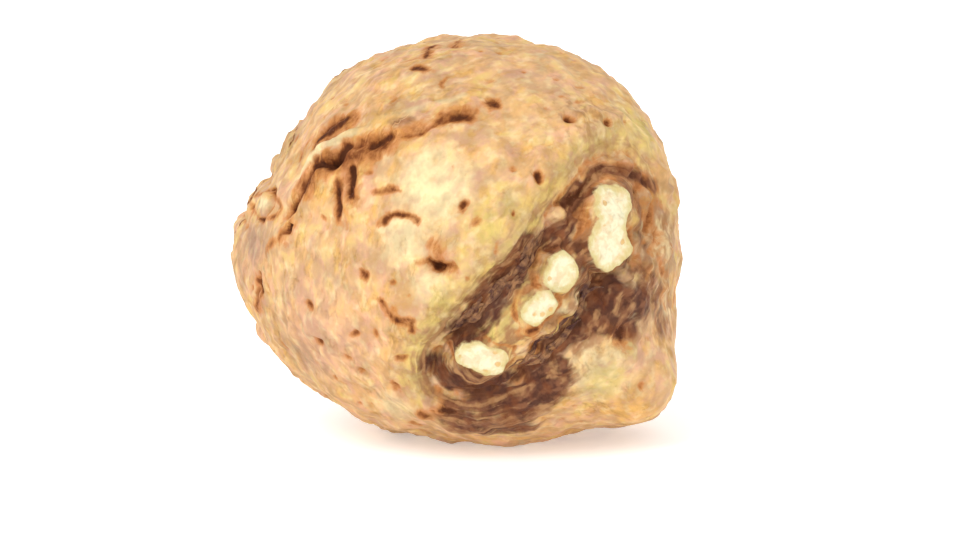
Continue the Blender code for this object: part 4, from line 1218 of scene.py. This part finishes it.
class CELERIAC_OT_whiskers(bpy.types.Operator):
    """Build the fine roots left round the root end"""

    bl_idname = "celeriac.whiskers"
    bl_label = "Hair Roots"

    def execute(self, context):
        look = context.scene.celeriac_trimmings
        random_draw = random.Random(SEED + 3)
        pole = pointing(*ROOT_END)
        first, second = local_axes(pole, 0.0)
        starts = []
        while len(starts) < look.whiskers:
            tilt = math.radians(random_draw.triangular(*WHISKER_TILTS))
            turn = random_draw.uniform(0.0, math.tau)
            out = math.cos(turn) * first + math.sin(turn) * second
            start = unit(math.cos(tilt) * pole + math.sin(tilt) * out)
            if start @ NEAR < 0.1 and start[2] > -0.85:
                starts.append((start, random_draw.uniform(0.0, math.tau),
                               random_draw.uniform(0.3, 1.0) * look.whisker_length))
        lines = []
        lifts = []
        waves = 0.15 * np.sin(np.linspace(0.0, 7.0, LINE_STEPS + 1))
        for start, heading, length in starts:
            lines.append(wandering_line(start, heading, length, WHISKER_BEND, random_draw))
            lifts.append(random_draw.uniform(0.1, 0.9) * ALONG_LINE - 0.25 + waves)
        shape = Shape()
        for points in near_skin(lines, lifts):
            thick = random_draw.uniform(*WHISKER_HALF)
            shape.tube(points, np.linspace(thick, 0.3 * thick, LINE_STEPS + 1))
        skin = context.scene.celeriac_skin
        shape.build("root_whiskers", fibre_material("hair_root", skin.rust, skin.tan, 2.5), True)
        return {"FINISHED"}


class CELERIAC_OT_leaf_bases(bpy.types.Operator):
    """Build the dry fibrous leaf bases that lie in the crown, along the row of stalks"""

    bl_idname = "celeriac.leaf_bases"
    bl_label = "Leaf Bases"

    def execute(self, context):
        look = context.scene.celeriac_trimmings
        random_draw = random.Random(SEED + 4)
        row = line_over_skin(CROWN_ROW)
        lines = []
        lifts = []
        for _ in range(look.leaf_bases):
            index = random_draw.randrange(1, int(0.62 * len(row)))
            ahead = unit(row[index + 1] - row[index - 1])
            aside = np.cross(row[index], ahead)
            away = random_draw.choice((-1.0, 1.0, 1.0)) * random_draw.uniform(*LEAF_BASE_AWAY)
            start = unit(row[index] + away / MEAN_RADIUS * aside)
            first, second = local_axes(start, 0.0)
            heading = math.atan2(ahead @ second, ahead @ first) + random_draw.uniform(-0.15, 0.15)
            length = random_draw.uniform(*LEAF_BASE_LENGTH)
            lines.append(wandering_line(start, heading, length, LEAF_BASE_BEND, random_draw))
            lifts.append(random_draw.uniform(0.0, 0.2) * ALONG_LINE)
        swell = 0.15 + 0.85 * np.sin(np.linspace(0.25, 2.95, LINE_STEPS + 1))
        shape = Shape()
        for points in near_skin(lines, lifts, LEAF_BASE_CLEAR):
            shape.tube(points, random_draw.uniform(*LEAF_BASE_HALF) * swell, 8, 0.35)
        skin = context.scene.celeriac_skin
        shape.build("leaf_bases", fibre_material("dry_leaf_base", skin.stain, skin.dry, 5.0), True)
        return {"FINISHED"}


class CELERIAC_OT_crumbs(bpy.types.Operator):
    """Build the grains of soil left in the crevices"""

    bl_idname = "celeriac.crumbs"
    bl_label = "Soil Crumbs"

    def execute(self, context):
        look = context.scene.celeriac_trimmings
        random_draw = random.Random(SEED + 5)
        tries = unit([[random_draw.gauss(0.0, 1.0) for _ in range(3)] for _ in range(CRUMB_TRIES)])
        skin = survey(tries)
        soiled = (skin.marks["soil"] > 0.8) & (skin.marks["cut"] < 0.1)
        fit = np.flatnonzero(soiled & (tries[:, 2] > -0.6))
        shape = Shape()
        for index in fit[:look.crumbs]:
            size = random_draw.uniform(*CRUMB_SIZE)
            shape.crumb(tries[index] * (skin.reach[index] + 0.25 * size), size, random_draw)
        colours = context.scene.celeriac_skin
        shape.build("soil_crumbs", fibre_material("soil_crumb", colours.soil, colours.rust, 1.2), True)
        return {"FINISHED"}


class CELERIAC_OT_stage(bpy.types.Operator):
    """Build the pale floor that curves up behind, the soft lights and the camera"""

    bl_idname = "celeriac.stage"
    bl_label = "Stage"

    def execute(self, context):
        look = context.scene.celeriac_stage
        self.floor(look)
        self.lights(context.scene, look)
        self.camera(context.scene, look)
        return {"FINISHED"}

    def floor(self, look):
        """A wide round floor that curves up at its edge."""
        corners = [(0.0, 0.0, FLOOR_RINGS[0][1])]
        for radius, height in FLOOR_RINGS:
            for step in range(FLOOR_SIDES):
                turn = math.tau * step / FLOOR_SIDES
                corners.append((radius * math.cos(turn), radius * math.sin(turn), height))
        faces = [(0, 1 + step, 1 + (step + 1) % FLOOR_SIDES) for step in range(FLOOR_SIDES)]
        for ring in range(len(FLOOR_RINGS) - 1):
            low = 1 + ring * FLOOR_SIDES
            high = low + FLOOR_SIDES
            for step in range(FLOOR_SIDES):
                across = (step + 1) % FLOOR_SIDES
                faces.append((low + step, high + step, high + across, low + across))
        mesh = bpy.data.meshes.new("studio_floor")
        mesh.from_pydata(corners, [], faces)
        mesh.shade_smooth()
        mesh.materials.append(plain_material("studio_floor", look.floor, 0.9, look.glow))
        floor = bpy.data.objects.new("studio_floor", mesh)
        bpy.context.scene.collection.objects.link(floor)

    def lights(self, scene, look):
        """White light from all round, and a wide soft key from the upper left and front."""
        world = bpy.data.worlds.new("studio")
        world.use_nodes = True
        background = world.node_tree.nodes["Background"]
        background.inputs["Color"].default_value = (1.0, 1.0, 1.0, 1.0)
        background.inputs["Strength"].default_value = look.fill
        scene.world = world
        lamp = bpy.data.lights.new("key", "SUN")
        lamp.energy = look.key
        lamp.angle = KEY_ANGLE
        light = bpy.data.objects.new("key", lamp)
        light.location = KEY_FROM
        light.rotation_euler = (-light.location).to_track_quat("-Z", "Y").to_euler()
        scene.collection.objects.link(light)

    def camera(self, scene, look):
        """The camera at the photo's angle, and a plain view transform."""
        lens = bpy.data.cameras.new("camera")
        lens.lens = look.lens
        lens.sensor_width = 36.0
        lens.clip_end = 50.0
        lens.dof.use_dof = False
        camera = bpy.data.objects.new("camera", lens)
        aim = (np.array(BODY_MIDDLE) + AIM_RIGHT * RIGHT + AIM_UP * UP) * METRES_PER_MM
        camera.location = aim + NEAR * look.distance
        camera.rotation_euler = Vector(-NEAR).to_track_quat("-Z", "Y").to_euler()
        scene.collection.objects.link(camera)
        scene.camera = camera
        scene.view_settings.view_transform = "Standard"


class CELERIAC_PT_panel(bpy.types.Panel):
    """The pieces of the celeriac's finish"""

    bl_label = "Celeriac"
    bl_idname = "CELERIAC_PT_panel"
    bl_space_type = "VIEW_3D"
    bl_region_type = "UI"
    bl_category = "Celeriac"

    def draw(self, context):
        for operator in OPERATORS:
            self.layout.operator(operator.bl_idname)


OPERATORS = (CELERIAC_OT_skin, CELERIAC_OT_whiskers, CELERIAC_OT_leaf_bases, CELERIAC_OT_crumbs,
             CELERIAC_OT_stage)
CLASSES = (SkinLook, TrimmingLook, StageLook, *OPERATORS, CELERIAC_PT_panel)


def register():
    """Add the classes and the settings that the scene holds."""
    for each in CLASSES:
        bpy.utils.register_class(each)
    bpy.types.Scene.celeriac_skin = PointerProperty(type=SkinLook)
    bpy.types.Scene.celeriac_trimmings = PointerProperty(type=TrimmingLook)
    bpy.types.Scene.celeriac_stage = PointerProperty(type=StageLook)


def unregister():
    """Take them away again."""
    del bpy.types.Scene.celeriac_stage
    del bpy.types.Scene.celeriac_trimmings
    del bpy.types.Scene.celeriac_skin
    for each in reversed(CLASSES):
        bpy.utils.unregister_class(each)


def main():
    """Build every piece and the stage."""
    register()
    bpy.ops.celeriac.skin()
    bpy.ops.celeriac.whiskers()
    bpy.ops.celeriac.leaf_bases()
    bpy.ops.celeriac.crumbs()
    bpy.ops.celeriac.stage()


if __name__ == "__main__":
    main()
